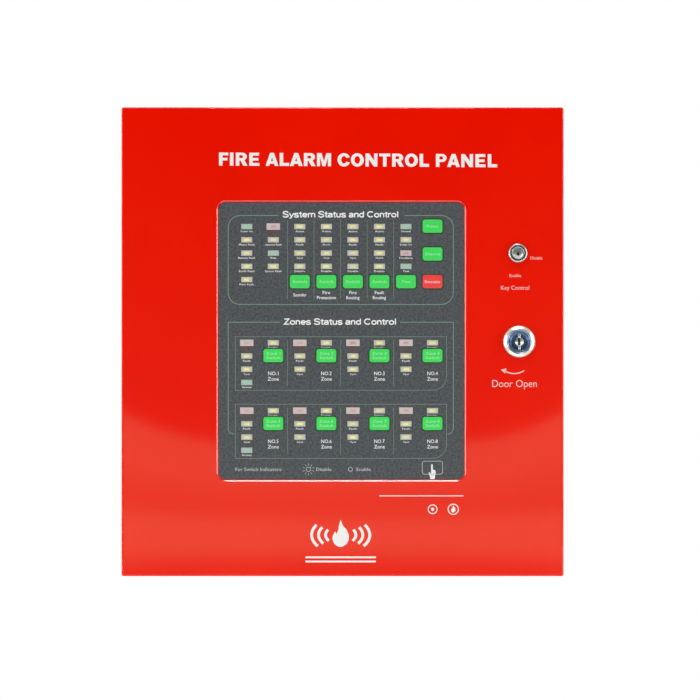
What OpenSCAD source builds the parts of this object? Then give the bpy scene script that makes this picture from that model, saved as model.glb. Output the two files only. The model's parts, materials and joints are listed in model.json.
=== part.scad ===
// Wall-mounted fire alarm control panel with eight zones, in millimetres.
// The origin is the centre of the wall face. X runs to the right, Z up, and the front faces -Y.

/* [Door] */
// Width of the door
door_w = 380; // [370:1:400]
// Height of the door
door_h = 403; // [395:1:430]
// Depth of the folded door pan
door_depth = 20; // [18:1:26]
// Radius of the door's front edges
door_edge_r = 1.8; // [0.5:0.1:3]
// Width of the flange folded in behind the door
door_flange = 12; // [9:1:14]

/* [Back box] */
// Distance from the wall to the door's face
panel_depth = 105; // [100:1:140]
// How far the door stands out past the box on every side
overhang = 7; // [7:0.5:9]
// Width of the lip folded in round the box's front opening
box_lip = 14; // [12:1:18]
// Thickness of the sheet steel
sheet = 1.2; // [1:0.1:1.5]

/* [Front plate] */
// Width of the dark front plate
plate_w = 210.8; // [205:0.1:216]
// Height of the dark front plate
plate_h = 238; // [230:0.5:242]
// Corner radius of the front plate
plate_r = 6; // [3:0.5:10]
// Sideways place of the plate's centre on the door
plate_x = -1.1; // [-5:0.1:5]
// Height of the plate's centre above the door's centre
plate_z = 0.65; // [-5:0.05:5]
// Depth of the recess that the plate lies in
recess = 1; // [0.6:0.1:1.1]

/* [Keys and windows] */
// Width of a key
key_w = 17.4; // [15:0.1:18]
// Height of a key
key_h = 11.8; // [9:0.1:13]
// Corner radius of a key
key_r = 2.3; // [1:0.1:4]
// Travel of a key
key_travel = 0.5; // [0.2:0.05:0.55]
// Width of an indicator window
window_w = 9.7; // [7:0.1:11]
// Height of an indicator window
window_h = 4.8; // [3:0.1:6]
// Width of the larger red fire windows
fire_window_w = 11.8; // [9:0.1:13]
// Height of the larger red fire windows
fire_window_h = 5.8; // [4:0.1:6.5]
// Distance between the columns of windows and keys
column_pitch = 22.8; // [22:0.1:23.2]
// Distance between the rows of system windows
system_pitch = 11.4; // [11:0.1:12]
// Distance between the two rows of zones
zone_pitch = 58.3; // [56:0.1:60]

/* [Locks] */
// Sideways place of the door lock
lock_x = 151.8; // [148:0.1:153]
// Height of the door lock
lock_z = 0.2; // [-5:0.1:5]
// Radius of the door lock's bezel
lock_bezel_r = 14.1; // [12:0.1:16]
// Radius of the turning plug in the door lock
plug_r = 8; // [7:0.1:8.5]
// Reach of the cam from the lock's axis
cam_reach = 28; // [24:0.5:29]
// Sideways place of the key switch
switch_x = 150.7; // [145:0.1:155]
// Height of the key switch
switch_z = 76.2; // [70:0.1:90]
// Radius of the key switch's bezel
switch_bezel_r = 8.5; // [8:0.1:10]
// Radius of the turning disc in the key switch
rotor_r = 6.2; // [5.8:0.1:6.4]

/* [Hinges] */
// Radius of a hinge barrel
barrel_r = 2.5; // [2.2:0.1:2.6]
// Radius of a hinge pin
pin_r = 1.5; // [1:0.1:1.7]
// Height of the hinges above and below the door's centre
hinge_z = 130; // [60:1:150]
// Length of one hinge
hinge_length = 60; // [40:1:80]

/* [Mounting] */
// Distance between the wall holes from side to side
wall_hole_span_x = 310; // [280:1:315]
// Distance between the wall holes from top to bottom
wall_hole_span_z = 252; // [245:1:256]
// Height of the middle of the wall holes
wall_hole_mid_z = 44; // [42:1:46]
// Radius of a wall hole
wall_hole_r = 3.25; // [2:0.05:4]
// Radius of the opening in a cable grommet
cable_r = 8.5; // [5:0.5:9]
// Distance between the cable entries
cable_pitch = 100; // [40:1:120]

/* [Inside] */
// Width of one battery
battery_w = 151; // [140:1:152]
// Depth of one battery
battery_d = 65; // [50:1:68]
// Height of one battery without its tabs
battery_h = 94; // [80:1:94]
// Width of the main board
board_w = 227; // [200:1:228]
// Height of the main board
board_h = 170; // [150:1:172]
// Radius of a battery or supply lead
lead_r = 1.3; // [0.8:0.1:1.6]

/* [Hidden] */
$fn = 48;
cut = 1; // how far a cutting solid runs past the face it opens
fit = 0.05; // running clearance of a turning piece

// Planes along Y, from the front to the wall
front_y = -panel_depth;
door_back_y = front_y + door_depth;
gasket_t = 1;
box_front_y = door_back_y + gasket_t;
plate_t = 0.5;
plate_y = front_y + recess - plate_t;
recess_back_y = front_y + recess + sheet;

// The box behind the door
box_w = door_w - 2 * overhang;
box_h = door_h - 2 * overhang;
inner_w = box_w - 2 * sheet;
inner_h = box_h - 2 * sheet;
floor_y = -sheet;

// Keys and windows
first_column = -82.3;
system_top = 99;
zone_top = -0.9;
zone_window_step = 11.35;
key_row_z = 51.6;
zone_key_drop = 11;
key_gap = 0.15;
key_proud = 0.5;
key_flange = 1;
function column(i) = first_column + i * column_pitch;

// One letter for each window, from the top: a amber, g green, r red, R the larger red one
system_columns = ["gaaaa", "Raga", "aaaa", "aaaa", "aaaa", "aaaa", "garg"];
zone_columns = ["Raag", "Raa", "Raa", "Raa"];
windows = concat(
    [for (c = [0 : 6]) for (j = [0 : len(system_columns[c]) - 1])
        [system_columns[c][j], column(c), system_top - j * system_pitch]],
    [for (row = [0, 1]) for (c = [0 : 3]) for (j = [0 : len(zone_columns[c]) - 1])
        [zone_columns[c][j], column(2 * c), zone_top - row * zone_pitch - j * zone_window_step]],
    [for (row = [0, 1]) for (c = [0 : 3])
        ["a", column(2 * c + 1), zone_top - row * zone_pitch]]
);
amber = [for (w = windows) if (w[0] == "a") w];
green = [for (w = windows) if (w[0] == "g") w];
red = [for (w = windows) if (w[0] == "r" || w[0] == "R") w];

// Each key has its name and the place of its centre
keys = concat(
    [["reset", column(7), 99.3], ["silence", column(7), 75.4], ["evacuate", column(7), key_row_z],
     ["sounder", column(2), key_row_z], ["fire_protection", column(3), key_row_z],
     ["fire_routing", column(4), key_row_z], ["fault_routing", column(5), key_row_z],
     ["test", column(6), key_row_z]],
    [for (row = [0, 1]) for (c = [0 : 3])
        [str("zone_", 4 * row + c + 1), column(2 * c + 1), zone_top - row * zone_pitch - zone_key_drop]]
);

// Keypad board behind the front plate
keypad_w = 220;
keypad_h = 245;
pcb_t = 1.6;
keypad_y = recess_back_y + 5.4;
stud_r = 1.5;
studs = [for (sx = [-1, 1]) for (sz = [-1, 0, 1]) [plate_x + sx * 102, plate_z + sz * 115]];
led_r = 1.5;
led_tip_y = recess_back_y + 0.6;
tact_size = 6;
tact_y = keypad_y - 3.5;
plunger_r = 1.75;
plunger_in = 0.8; // how far a plunger reaches into its switch

// Door lock and key switch
lock_body_r = 9.5;
lock_length = 19;
cam_y = box_front_y + sheet + 1;
cam_t = 2;
cam_w = 16;
cam_square = 7;
cam_screw_r = 2.5;
switch_body_r = 6.9;
rotor_shaft_r = 5.2;
switch_length = 20;

// Hinges on the left, hidden behind the door's edge
hinge_leaf_t = 1.2;
pivot_x = -box_w / 2 - hinge_leaf_t - barrel_r - 0.2;
pivot_y = door_back_y + hinge_leaf_t + barrel_r + 0.1;
knuckle = hinge_length / 4;
knuckle_gap = 0.3;

// Things on the floor of the box
board_x = -51.5;
board_z = 25;
standoff_h = 10;
board_y = floor_y - standoff_h - pcb_t;
board_top = board_z + board_h / 2;
board_left = board_x - board_w / 2;
board_fixings = [for (sx = [-1, 0, 1]) for (sz = [-1, 1])
    [board_x + sx * (board_w / 2 - 6), board_z + sz * (board_h / 2 - 18)]];
supply_x = 123.5;
supply_z = 9.5;
supply_w = 97;
supply_h = 159;
supply_d = 38;
supply_notch_y = floor_y - supply_d + 15;
supply_notch_z = supply_z + supply_h / 2 - 18;
mains_x = 135;
mains_z = 135;
battery_floor_z = -inner_h / 2 + 0.2;
battery_back_y = floor_y - 1.8;
battery_gap = 8;
battery_top_z = battery_floor_z + battery_h;
battery_front_y = battery_back_y - battery_d;
bracket_z = -145;
bracket_t = 1.5;
bracket_h = 22;
bracket_screws = [-6, 6];
bracket_screw_y = battery_front_y + 10;
bracket_screw_r = 2;
tab_y = battery_front_y + 11;
cable_y = -40;
grommet_lip = 1.5;

// Routes of the leads, from one end to the other
link_route = [[-16, -57, -91], [-14, -57, -84], [0, -58, -80], [14, -57, -84], [16, -57, -91]];
black_route = [[-143, -57, -91], [-142, -56, -82], [-128, -52, -76], [-90, -46, -75], [-40, -40, -75],
    [0, -34, -74], [14, -27, -70], [17, -20, -61.5]];
red_route = [[143, -57, -91], [142, -56, -83], [128, -54, -79], [90, -50, -78], [50, -42, -77],
    [30, -32, -74], [24, -25, -69], [23, -20, -61.5]];
plus_route = [[91, -31, 82.5], [91, -31, 98], [84, -29, 116], [66, -25, 122], [51, -21, 118],
    [48, -19, 109.8]];
minus_route = [[102, -31, 82.5], [101, -32, 104], [88, -31, 122], [66, -27, 128], [47, -22, 122],
    [43, -19, 109.8]];
live_route = [[130, -10, 119.5], [131, -16, 112], [134, -26, 102], [135, -31, 92], [135, -31, 82.5]];
neutral_route = [[140, -10, 119.5], [141, -16, 112], [144, -26, 102], [146, -31, 92], [146, -31, 82.5]];
earth_route = [[85, -10, 140], [88, -13, 148], [97, -17, 157], [110, -18, 160], [122, -16, 157],
    [127, -14, 151]];

// The ribbon cable stands on edge and runs past the hinge side, seen here from above
ribbon_w = 20;
ribbon_t = 1;
ribbon_z = 21;
ribbon_route = [[-153.5, -21.8], [-153.5, -29], [-157, -39], [-162.5, -50], [-164.5, -62], [-164, -75],
    [-160, -85], [-151, -90.6], [-138, -91.4], [-123, -91.4], [-108, -91.4]];

// A box between two opposite corners
module span(low, high) translate(low) cube(high - low);

// A flat outline in X and Z, made into a slab from y_front backwards
module slab(y_front, thick)
    translate([0, y_front + thick, 0]) rotate([90, 0, 0]) linear_extrude(thick) children();

// A rod along Y that starts at y_front
module rod(x, z, y_front, length, r, sides = 48)
    translate([x, y_front + length, z]) rotate([90, 0, 0]) cylinder(h = length, r = r, $fn = sides);

// A turned piece about Y, from a profile of radius and height in front of y
module turned(x, z, y, profile) translate([x, y, z]) rotate([90, 0, 0]) rotate_extrude() polygon(profile);

// An outline with round corners
module rounded(w, h, r) {
    square([w, h - 2 * r], center = true);
    square([w - 2 * r, h], center = true);
    for (sx = [-1, 1], sz = [-1, 1]) translate([sx * (w / 2 - r), sz * (h / 2 - r)]) circle(r);
}

// A smooth curve through the points of a route
function pick(p, i) = p[min(max(i, 0), len(p) - 1)];
function along(p, t) = let (i = min(floor(t), len(p) - 2), u = t - i,
    a = pick(p, i - 1), b = pick(p, i), c = pick(p, i + 1), d = pick(p, i + 2))
    (2 * b + (c - a) * u + (2 * a - 5 * b + 4 * c - d) * u * u + (3 * b - a - 3 * c + d) * u * u * u) / 2;
function unit(v) = v / norm(v);
function heading(p, t) = unit(along(p, min(t + 0.05, len(p) - 1)) - along(p, max(t - 0.05, 0)));

// A round lead along a route that never runs level along the vector across
module lead(route, across, r = lead_r, sides = 8, steps = 4) {
    rings = (len(route) - 1) * steps;
    points = [for (j = [0 : rings]) let (t = j / steps, f = heading(route, t), u = unit(cross(f, across)),
        v = cross(f, u)) for (k = [0 : sides - 1])
        along(route, t) + r * (cos(360 * k / sides) * u + sin(360 * k / sides) * v)];
    walls = [for (j = [0 : rings - 1]) for (k = [0 : sides - 1]) let (a = j * sides + k,
        b = j * sides + (k + 1) % sides) each [[a, a + sides, b], [b, a + sides, b + sides]]];
    polyhedron(points, concat(walls,
        [[for (k = [0 : sides - 1]) k], [for (k = [sides - 1 : -1 : 0]) rings * sides + k]]));
}

// The outlines of windows and keys, grown by a margin
module window_outlines(list) for (w = list) translate([w[1], w[2]])
    square(w[0] == "R" ? [fire_window_w, fire_window_h] : [window_w, window_h], center = true);
module key_outline(grow = 0) rounded(key_w + 2 * grow, key_h + 2 * grow, key_r + grow);
module key_outlines() for (k = keys) translate([k[1], k[2]]) key_outline();

// The door's outer form, with rounded front edges and corners
module door_block() {
    r = door_edge_r;
    x = door_w / 2 - r;
    z = door_h / 2 - r;
    slab(front_y + r, door_depth - r) rounded(door_w, door_h, r);
    span([-x, front_y, -z], [x, door_back_y, z]);
    for (s = [-1, 1]) {
        translate([s * x, front_y + r, -z]) cylinder(h = 2 * z, r = r);
        translate([-x, front_y + r, s * z]) rotate([0, 90, 0]) cylinder(h = 2 * x, r = r);
        for (sx = [-1, 1]) translate([sx * x, front_y + r, s * z]) sphere(r);
    }
}

module door_panel() color("red") {
    wall_x = door_w / 2 - sheet;
    wall_z = door_h / 2 - sheet;
    rim = 0.4;
    difference() {
        union() {
            difference() {
                door_block();
                span([-wall_x, front_y + sheet, -wall_z], [wall_x, door_back_y - sheet, wall_z]);
                span([door_flange - door_w / 2, door_back_y - 2 * sheet, door_flange - door_h / 2],
                    [door_w / 2 - door_flange, door_back_y + cut, door_h / 2 - door_flange]);
            }
            slab(front_y + sheet / 2, recess + sheet / 2) translate([plate_x, plate_z])
                rounded(plate_w + 2 * (rim + sheet), plate_h + 2 * (rim + sheet), plate_r + rim + sheet);
            for (s = studs) rod(s[0], s[1], recess_back_y - sheet / 2, 10, stud_r);
        }
        slab(front_y - cut, cut + recess) translate([plate_x, plate_z])
            rounded(plate_w + 2 * rim, plate_h + 2 * rim, plate_r + rim);
        slab(front_y, recess + 2 * sheet) {
            window_outlines(windows);
            key_outlines();
        }
        rod(lock_x, lock_z, front_y - cut, 3 * cut + sheet, lock_body_r + fit);
        rod(switch_x, switch_z, front_y - cut, 3 * cut + sheet, switch_body_r + fit);
    }
}

module front_plate() color("dimgray") slab(plate_y, plate_t) difference() {
    translate([plate_x, plate_z]) rounded(plate_w, plate_h, plate_r);
    window_outlines(windows);
    key_outlines();
}

module window_set(list) slab(plate_y, recess_back_y - plate_y) window_outlines(list);
module amber_windows() color("khaki") window_set(amber);
module green_windows() color("darkseagreen") window_set(green);
module red_windows() color("rosybrown") window_set(red);

module status_leds() color("lightyellow") for (w = windows) {
    rod(w[1], w[2], led_tip_y + led_r, keypad_y - led_tip_y - led_r, led_r, 24);
    translate([w[1], led_tip_y + led_r, w[2]]) sphere(led_r, $fn = 24);
}

// A key cap with its retaining flange and the plunger that works the switch behind it
module key_button(k) color(k[0] == "evacuate" ? "tomato" : "limegreen") translate([k[1], 0, k[2]]) {
    flange_y = recess_back_y + 0.1;
    slab(plate_y - key_proud, flange_y - plate_y + key_proud) key_outline(-key_gap);
    slab(flange_y, 0.8) key_outline(key_flange);
    rod(0, 0, flange_y + 0.7, tact_y + plunger_in - flange_y - 0.7, plunger_r, 24);
}

module keypad_board() color("seagreen") slab(keypad_y, pcb_t) difference() {
    translate([plate_x, plate_z]) rounded(keypad_w, keypad_h, 3);
    for (s = studs) translate(s) circle(stud_r + 0.1);
}

module keypad_standoffs() color("whitesmoke") for (s = studs) difference() {
    rod(s[0], s[1], recess_back_y, keypad_y - recess_back_y, 3);
    rod(s[0], s[1], recess_back_y - cut, keypad_y - recess_back_y + 2 * cut, stud_r);
}

module keypad_nuts() color("silver") for (s = studs) difference() {
    rod(s[0], s[1], keypad_y + pcb_t, 2.4, 3.2, 6);
    rod(s[0], s[1], keypad_y + pcb_t - cut, 2.4 + 2 * cut, stud_r);
}

module tact_switches() color([0.15, 0.15, 0.16]) for (k = keys) difference() {
    translate([k[1], 0, k[2]]) slab(tact_y, keypad_y - tact_y) square(tact_size, center = true);
    rod(k[1], k[2], tact_y - cut, cut + plunger_in + key_travel + 0.3, plunger_r + 0.1, 24);
}

module keypad_chips() color([0.12, 0.12, 0.13]) {
    back_y = keypad_y + pcb_t;
    for (i = [-2 : 2]) span([i * 34 - 5, back_y, 24], [i * 34 + 5, back_y + 1.8, 30]);
    for (i = [-2 : 2]) span([i * 34 - 5, back_y, -48], [i * 34 + 5, back_y + 1.8, -42]);
    span([-8, back_y, -14], [6, back_y + 1.5, 0]);
}

// A ribbon socket that opens towards the hinge
module keypad_header() color([0.1, 0.1, 0.1]) difference() {
    span([-108, keypad_y + pcb_t, ribbon_z - 13], [-96, keypad_y + pcb_t + 8.6, ribbon_z + 13]);
    span([-108 - cut, -94, ribbon_z - 11], [-104, -88.8, ribbon_z + 11]);
}

module buzzer() color([0.1, 0.1, 0.1]) difference() {
    rod(62, 108, keypad_y + pcb_t, 9, 6);
    rod(62, 108, keypad_y + pcb_t + 7, 2 + cut, 1.3, 24);
}

module lock_housing() color("silver") turned(lock_x, lock_z, front_y, [
    [plug_r + fit, -lock_length], [lock_body_r, -lock_length], [lock_body_r, 0], [lock_bezel_r, 0],
    [lock_bezel_r, 1.2], [lock_bezel_r - 0.5, 2.2], [lock_bezel_r - 1.5, 3], [lock_bezel_r - 2.8, 3],
    [lock_bezel_r - 3.8, 2.1], [plug_r + fit, 1.6]]);

// One large nut on each lock body, behind the door's sheet
module lock_nuts() color("silver") {
    back_y = front_y + sheet;
    difference() {
        rod(lock_x, lock_z, back_y, 4, 14, 6);
        rod(lock_x, lock_z, back_y - cut, 4 + 2 * cut, lock_body_r);
    }
    difference() {
        rod(switch_x, switch_z, back_y, 3, 10.4, 6);
        rod(switch_x, switch_z, back_y - cut, 3 + 2 * cut, switch_body_r);
    }
}

module lock_plug() color("gainsboro") {
    neck_y = front_y + lock_length + 0.2;
    difference() {
        union() {
            rod(lock_x, lock_z, front_y - 1.2, lock_length + 1.4, plug_r);
            rod(lock_x, lock_z, front_y - 1.9, 2, 3.8);
            rod(lock_x, lock_z, neck_y - 1, cam_y - neck_y + 1, 5.5);
            translate([lock_x, 0, lock_z]) slab(cam_y - 1, 1 + cam_t - 0.1) square(cam_square, center = true);
        }
        translate([lock_x, 0, lock_z]) slab(front_y - 3, 8) square([2, 7.6], center = true);
        rod(lock_x, lock_z, cam_y - 8, 8 + cam_t + cut, cam_screw_r);
    }
}

// The cam hangs down while the door is free to open
module lock_cam() color("silver") translate([lock_x, 0, lock_z]) slab(cam_y, cam_t) difference() {
    union() {
        circle(cam_w / 2);
        translate([-cam_w / 2, cam_w / 2 - cam_reach]) square([cam_w, cam_reach - cam_w / 2]);
        translate([0, cam_w / 2 - cam_reach]) circle(cam_w / 2);
    }
    square(cam_square, center = true);
}

module cam_screw() color("silver") difference() {
    union() {
        rod(lock_x, lock_z, cam_y + cam_t, 2.5, 5);
        rod(lock_x, lock_z, cam_y - 7, cam_t + 7.5, cam_screw_r);
    }
    translate([lock_x, 0, lock_z]) slab(cam_y + cam_t + 1.2, 2) {
        square([6, 1.2], center = true);
        square([1.2, 6], center = true);
    }
}

module key_switch_housing() color("silver") turned(switch_x, switch_z, front_y, [
    [rotor_shaft_r + fit, -switch_length], [switch_body_r, -switch_length], [switch_body_r, 0],
    [switch_bezel_r, 0], [switch_bezel_r, 1.4], [switch_bezel_r - 0.5, 2.2], [switch_bezel_r - 1.1, 2.5],
    [switch_bezel_r - 1.7, 2.5], [rotor_r + fit, 2.2], [rotor_r + fit, 0.3], [rotor_shaft_r + fit, 0.3]]);

module key_switch_rotor() color("gray") difference() {
    turned(switch_x, switch_z, front_y, [[0, -switch_length - 1.8], [rotor_shaft_r, -switch_length - 1.8],
        [rotor_shaft_r, 0.4], [rotor_r, 0.4], [rotor_r, 1.6], [rotor_r - 0.4, 2], [0, 2]]);
    translate([switch_x, 0, switch_z - 0.6]) slab(front_y - 3, 5) square([1.8, 2.3], center = true);
}

module key_switch_contacts() color("ivory") {
    y = front_y + switch_length;
    difference() {
        span([switch_x - 9, y, switch_z - 11], [switch_x + 9, y + 14, switch_z + 11]);
        rod(switch_x, switch_z, y - cut, cut + 2.2, rotor_shaft_r + 0.3);
    }
    for (sx = [-1, 1], sz = [-1, 1]) translate([switch_x + 5 * sx, 0, switch_z + 7 * sz])
        slab(y + 13, 7) square([0.8, 2.8], center = true);
}

// Barrel pieces of one hinge between two heights, bored for the pin
module barrel(z0, z1, bore) translate([pivot_x, pivot_y, z0]) difference() {
    union() {
        cylinder(h = z1 - z0, r = barrel_r);
        children();
    }
    translate([0, 0, -cut]) cylinder(h = z1 - z0 + 2 * cut, r = bore);
}

module door_hinge_leaves() color("silver") for (s = [-1, 1]) translate([0, 0, s * hinge_z]) {
    reach = hinge_length / 2;
    span([-door_w / 2 + 0.6, door_back_y, -reach], [-box_w / 2 - 0.2, door_back_y + hinge_leaf_t, reach]);
    for (z = [-reach, reach - knuckle]) barrel(z, z + knuckle, pin_r + fit)
        translate([-1.2, door_back_y + 0.8 - pivot_y, 0]) cube([2.4, pivot_y - door_back_y - 1, knuckle]);
}

module box_hinge_leaves() color("silver") for (s = [-1, 1]) translate([0, 0, s * hinge_z]) {
    reach = hinge_length / 2;
    span([-box_w / 2 - hinge_leaf_t, box_front_y + 0.6, -reach], [-box_w / 2, box_front_y + 24, reach]);
    barrel(knuckle_gap + knuckle - reach, reach - knuckle - knuckle_gap, pin_r)
        translate([0, -1, 0]) cube([-box_w / 2 - 0.4 - pivot_x, 2, 2 * (reach - knuckle - knuckle_gap)]);
}

module hinge_pins() color("gainsboro") for (s = [-1, 1]) translate([pivot_x, pivot_y, s * hinge_z]) {
    half = hinge_length / 2 + 0.2;
    translate([0, 0, -half - 1]) cylinder(h = 2 * half + 2, r = pin_r);
    for (z = [-half - 1, half]) translate([0, 0, z]) cylinder(h = 1, r = pin_r + 0.7);
}

module back_box() color("firebrick") {
    x = inner_w / 2;
    z = inner_h / 2;
    difference() {
        span([-box_w / 2, box_front_y, -box_h / 2], [box_w / 2, 0, box_h / 2]);
        span([-x, box_front_y + sheet, -z], [x, floor_y, z]);
        span([box_lip - box_w / 2, box_front_y - cut, box_lip - box_h / 2],
            [box_w / 2 - box_lip, box_front_y + 2 * sheet, box_h / 2 - box_lip]);
        for (sx = [-1, 1], sz = [-1, 1]) rod(sx * wall_hole_span_x / 2,
            wall_hole_mid_z + sz * wall_hole_span_z / 2, floor_y - cut, sheet + 2 * cut, wall_hole_r);
        for (i = [-1 : 1]) translate([i * cable_pitch, cable_y, z - cut])
            cylinder(h = sheet + 2 * cut, r = cable_r + 2.5);
        for (s = [-1, 1], z = bracket_screws) translate([s * box_w / 2, bracket_screw_y, bracket_z + z])
            rotate([0, 90, 0]) cylinder(h = 4 * sheet, r = bracket_screw_r, center = true);
    }
}

module door_gasket() color([0.1, 0.1, 0.1]) slab(door_back_y + 0.05, gasket_t - 0.05) difference() {
    square([box_w - 2, box_h - 2], center = true);
    square([box_w - 2 * box_lip + 4, box_h - 2 * box_lip + 4], center = true);
}

module cable_grommets() color([0.1, 0.1, 0.1]) for (i = [-1 : 1])
    translate([i * cable_pitch, cable_y, inner_h / 2 - grommet_lip]) difference() {
        union() {
            cylinder(h = 2 * grommet_lip + sheet, r = cable_r + 2.5);
            cylinder(h = grommet_lip, r = cable_r + 5);
            translate([0, 0, grommet_lip + sheet]) cylinder(h = grommet_lip, r = cable_r + 5);
        }
        translate([0, 0, -cut]) cylinder(h = 2 * grommet_lip + sheet + 2 * cut, r = cable_r);
    }

module main_board() color("green") slab(board_y, pcb_t) difference() {
    translate([board_x, board_z]) rounded(board_w, board_h, 3);
    for (p = board_fixings) translate(p) circle(1.7);
}

module board_standoffs() color("gold") for (p = board_fixings) difference() {
    rod(p[0], p[1], floor_y - standoff_h, standoff_h, 3.2, 6);
    rod(p[0], p[1], floor_y - standoff_h - cut, 7, 1.5);
}

// Board screws along Y, and bracket screws through the box's side walls
module fixing_screws() color("silver") {
    for (p = board_fixings) difference() {
        union() {
            rod(p[0], p[1], board_y - 2, 2, 2.8);
            rod(p[0], p[1], board_y - 1, pcb_t + 6, 1.5);
        }
        translate([p[0], 0, p[1]]) slab(board_y - 2 - cut, cut + 1) {
            square([3.4, 0.8], center = true);
            square([0.8, 3.4], center = true);
        }
    }
    for (s = [-1, 1], z = bracket_screws)
        translate([s * (inner_w / 2 - bracket_t), bracket_screw_y, bracket_z + z]) rotate([0, 90 * s, 0]) {
            translate([0, 0, -2]) cylinder(h = 2, r = 3.4);
            translate([0, 0, -1]) cylinder(h = 1 + bracket_t + sheet, r = bracket_screw_r);
        }
}

// A row of screw terminals: clamping screws face the front, and wires enter on the side that up points to
module terminal_row(x, z, y, poles, pitch, up, depth = 12) difference() {
    span([x, y - depth, z - 5], [x + poles * pitch, y, z + 5]);
    for (i = [0 : poles - 1]) {
        rod(x + (i + 0.5) * pitch, z - 1.5 * up, y - depth - cut, 3 + cut, 0.36 * pitch, 24);
        translate([x + (i + 0.5) * pitch, y - 0.5 * depth, z + 3.5 * up])
            cube([0.66 * pitch, 4.2, 4], center = true);
    }
}

module terminal_blocks() color("seagreen") {
    for (i = [0 : 9]) terminal_row(board_left + 6 + i * 21.6, board_top - 6, board_y, 4, 5.2, 1);
    terminal_row(12, board_z - board_h / 2 + 6, board_y, 3, 5.2, -1);
    terminal_row(mains_x - 20, mains_z - 10, floor_y, 4, 10, -1, 18);
    terminal_row(supply_x - 38.5, supply_notch_z + 6, supply_notch_y, 7, 11, 1, 13);
    span([mains_x - 20, floor_y - 18, mains_z - 5], [mains_x + 20, floor_y, mains_z + 15]);
}

module relays() color("white") for (i = [0 : 5]) translate([board_left + 24 + i * 34, 0, board_top - 30])
    slab(board_y - 15, 15) rounded(20, 15.5, 1);

module capacitor(x, z, r, h) difference() {
    rod(x, z, board_y - h, h, r, 32);
    translate([x, 0, z]) slab(board_y - h - cut, cut + 0.3) square([1.4 * r, 0.5], center = true);
}

module capacitors() color("midnightblue") {
    for (i = [0 : 2]) capacitor(28 + i * 0.5, -2 + i * 20, 7.5, 22);
    for (i = [0 : 5]) capacitor(board_left + 20 + i * 20, board_z - board_h / 2 + 26, 4, 12);
}

module board_chips() color([0.12, 0.12, 0.13]) {
    span([-72, board_y - 1.6, 18], [-52, board_y, 38]);
    span([-112, board_y - 3.4, 20], [-92, board_y, 28]);
    for (i = [0 : 5]) translate([board_left + 30 + i * 26, board_y - 2, 52]) cube([11, 2, 7]);
    for (i = [0 : 2]) translate([-40 + i * 18, board_y - 2, 8]) cube([10, 2, 5]);
}

module main_header() color([0.1, 0.1, 0.1]) difference() {
    span([-158, board_y - 9, ribbon_z - 13], [-149, board_y, ribbon_z + 13]);
    span([-156, board_y - 9 - cut, ribbon_z - 11], [-151, board_y - 2, ribbon_z + 11]);
}

// Glass fuses lying in two clips each
module fuses() color("lightgray") for (i = [0 : 3]) translate([-20 + i * 13, 0, -26]) {
    translate([0, board_y - 5, 0]) cylinder(h = 20, r = 2.6, center = true);
    for (z = [-8, 8]) span([-3.2, board_y - 4, z - 2], [3.2, board_y, z + 2]);
}

// Metal cased supply with rows of vents and a terminal strip along its top
module power_supply() color("lightgray") difference() {
    union() {
        translate([supply_x, 0, supply_z]) slab(floor_y - supply_d, supply_d) rounded(supply_w, supply_h, 1);
        for (s = [-1, 1]) translate([supply_x, 0, supply_z + s * supply_h / 2])
            slab(floor_y - sheet, sheet) square([30, 12], center = true);
    }
    for (i = [-4 : 4], j = [-6 : 4])
        rod(supply_x + i * 9, supply_z + j * 9, floor_y - supply_d - cut, cut + 1.5, 2.6, 24);
    span([supply_x - 40, floor_y - supply_d - cut, supply_notch_z],
        [supply_x + 40, supply_notch_y, supply_z + supply_h / 2 + cut]);
}

module earth_stud() color("gold") {
    rod(85, 135, floor_y - 14, 14, 2.5);
    for (y = [-3, -12]) rod(85, 135, floor_y + y, 3, 4.6, 6);
    rod(85, 135, floor_y - 7.5, 1, 5.5);
}

module battery_outline() rounded(battery_w, battery_d, 3);
function battery_x(s) = s * (battery_w + battery_gap) / 2;

module batteries() color([0.16, 0.17, 0.19]) for (s = [-1, 1])
    translate([battery_x(s), battery_back_y - battery_d / 2, battery_floor_z]) {
        linear_extrude(battery_h - 6) battery_outline();
        translate([0, 0, battery_h - 6.5]) linear_extrude(1) rounded(battery_w - 1.2, battery_d - 1.2, 3);
        translate([0, 0, battery_h - 5.5]) linear_extrude(5.5) battery_outline();
    }

module battery_tabs() color("gold") for (s = [-1, 1], e = [-1, 1]) {
    x = battery_x(s) + e * (battery_w / 2 - 12);
    translate([x - 0.4, tab_y - 2.4, battery_top_z]) cube([0.8, 4.8, 6]);
}

// A steel strap across both batteries, turned back along the side walls and screwed to them
module battery_bracket() color("silver") {
    y = battery_front_y - bracket_t;
    x = inner_w / 2;
    difference() {
        span([-x, y, bracket_z - bracket_h / 2], [x, y + 22, bracket_z + bracket_h / 2]);
        span([bracket_t - x, y + bracket_t, bracket_z - bracket_h],
            [x - bracket_t, y + 22 + cut, bracket_z + bracket_h]);
        for (s = [-1, 1], z = bracket_screws) translate([s * x, bracket_screw_y, bracket_z + z])
            rotate([0, 90, 0]) cylinder(h = 4 * bracket_t, r = bracket_screw_r, center = true);
    }
}

module battery_leads() color("crimson") {
    lead(link_route, [0, 1, 0]);
    lead(black_route, [0, 1, 0]);
    lead(red_route, [0, 1, 0]);
}

module supply_leads() color("royalblue") {
    lead(plus_route, [0, 1, 0]);
    lead(minus_route, [0, 1, 0]);
    lead(live_route, [1, 0, 0]);
    lead(neutral_route, [1, 0, 0]);
    lead(earth_route, [0, 1, 0]);
}

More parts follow.
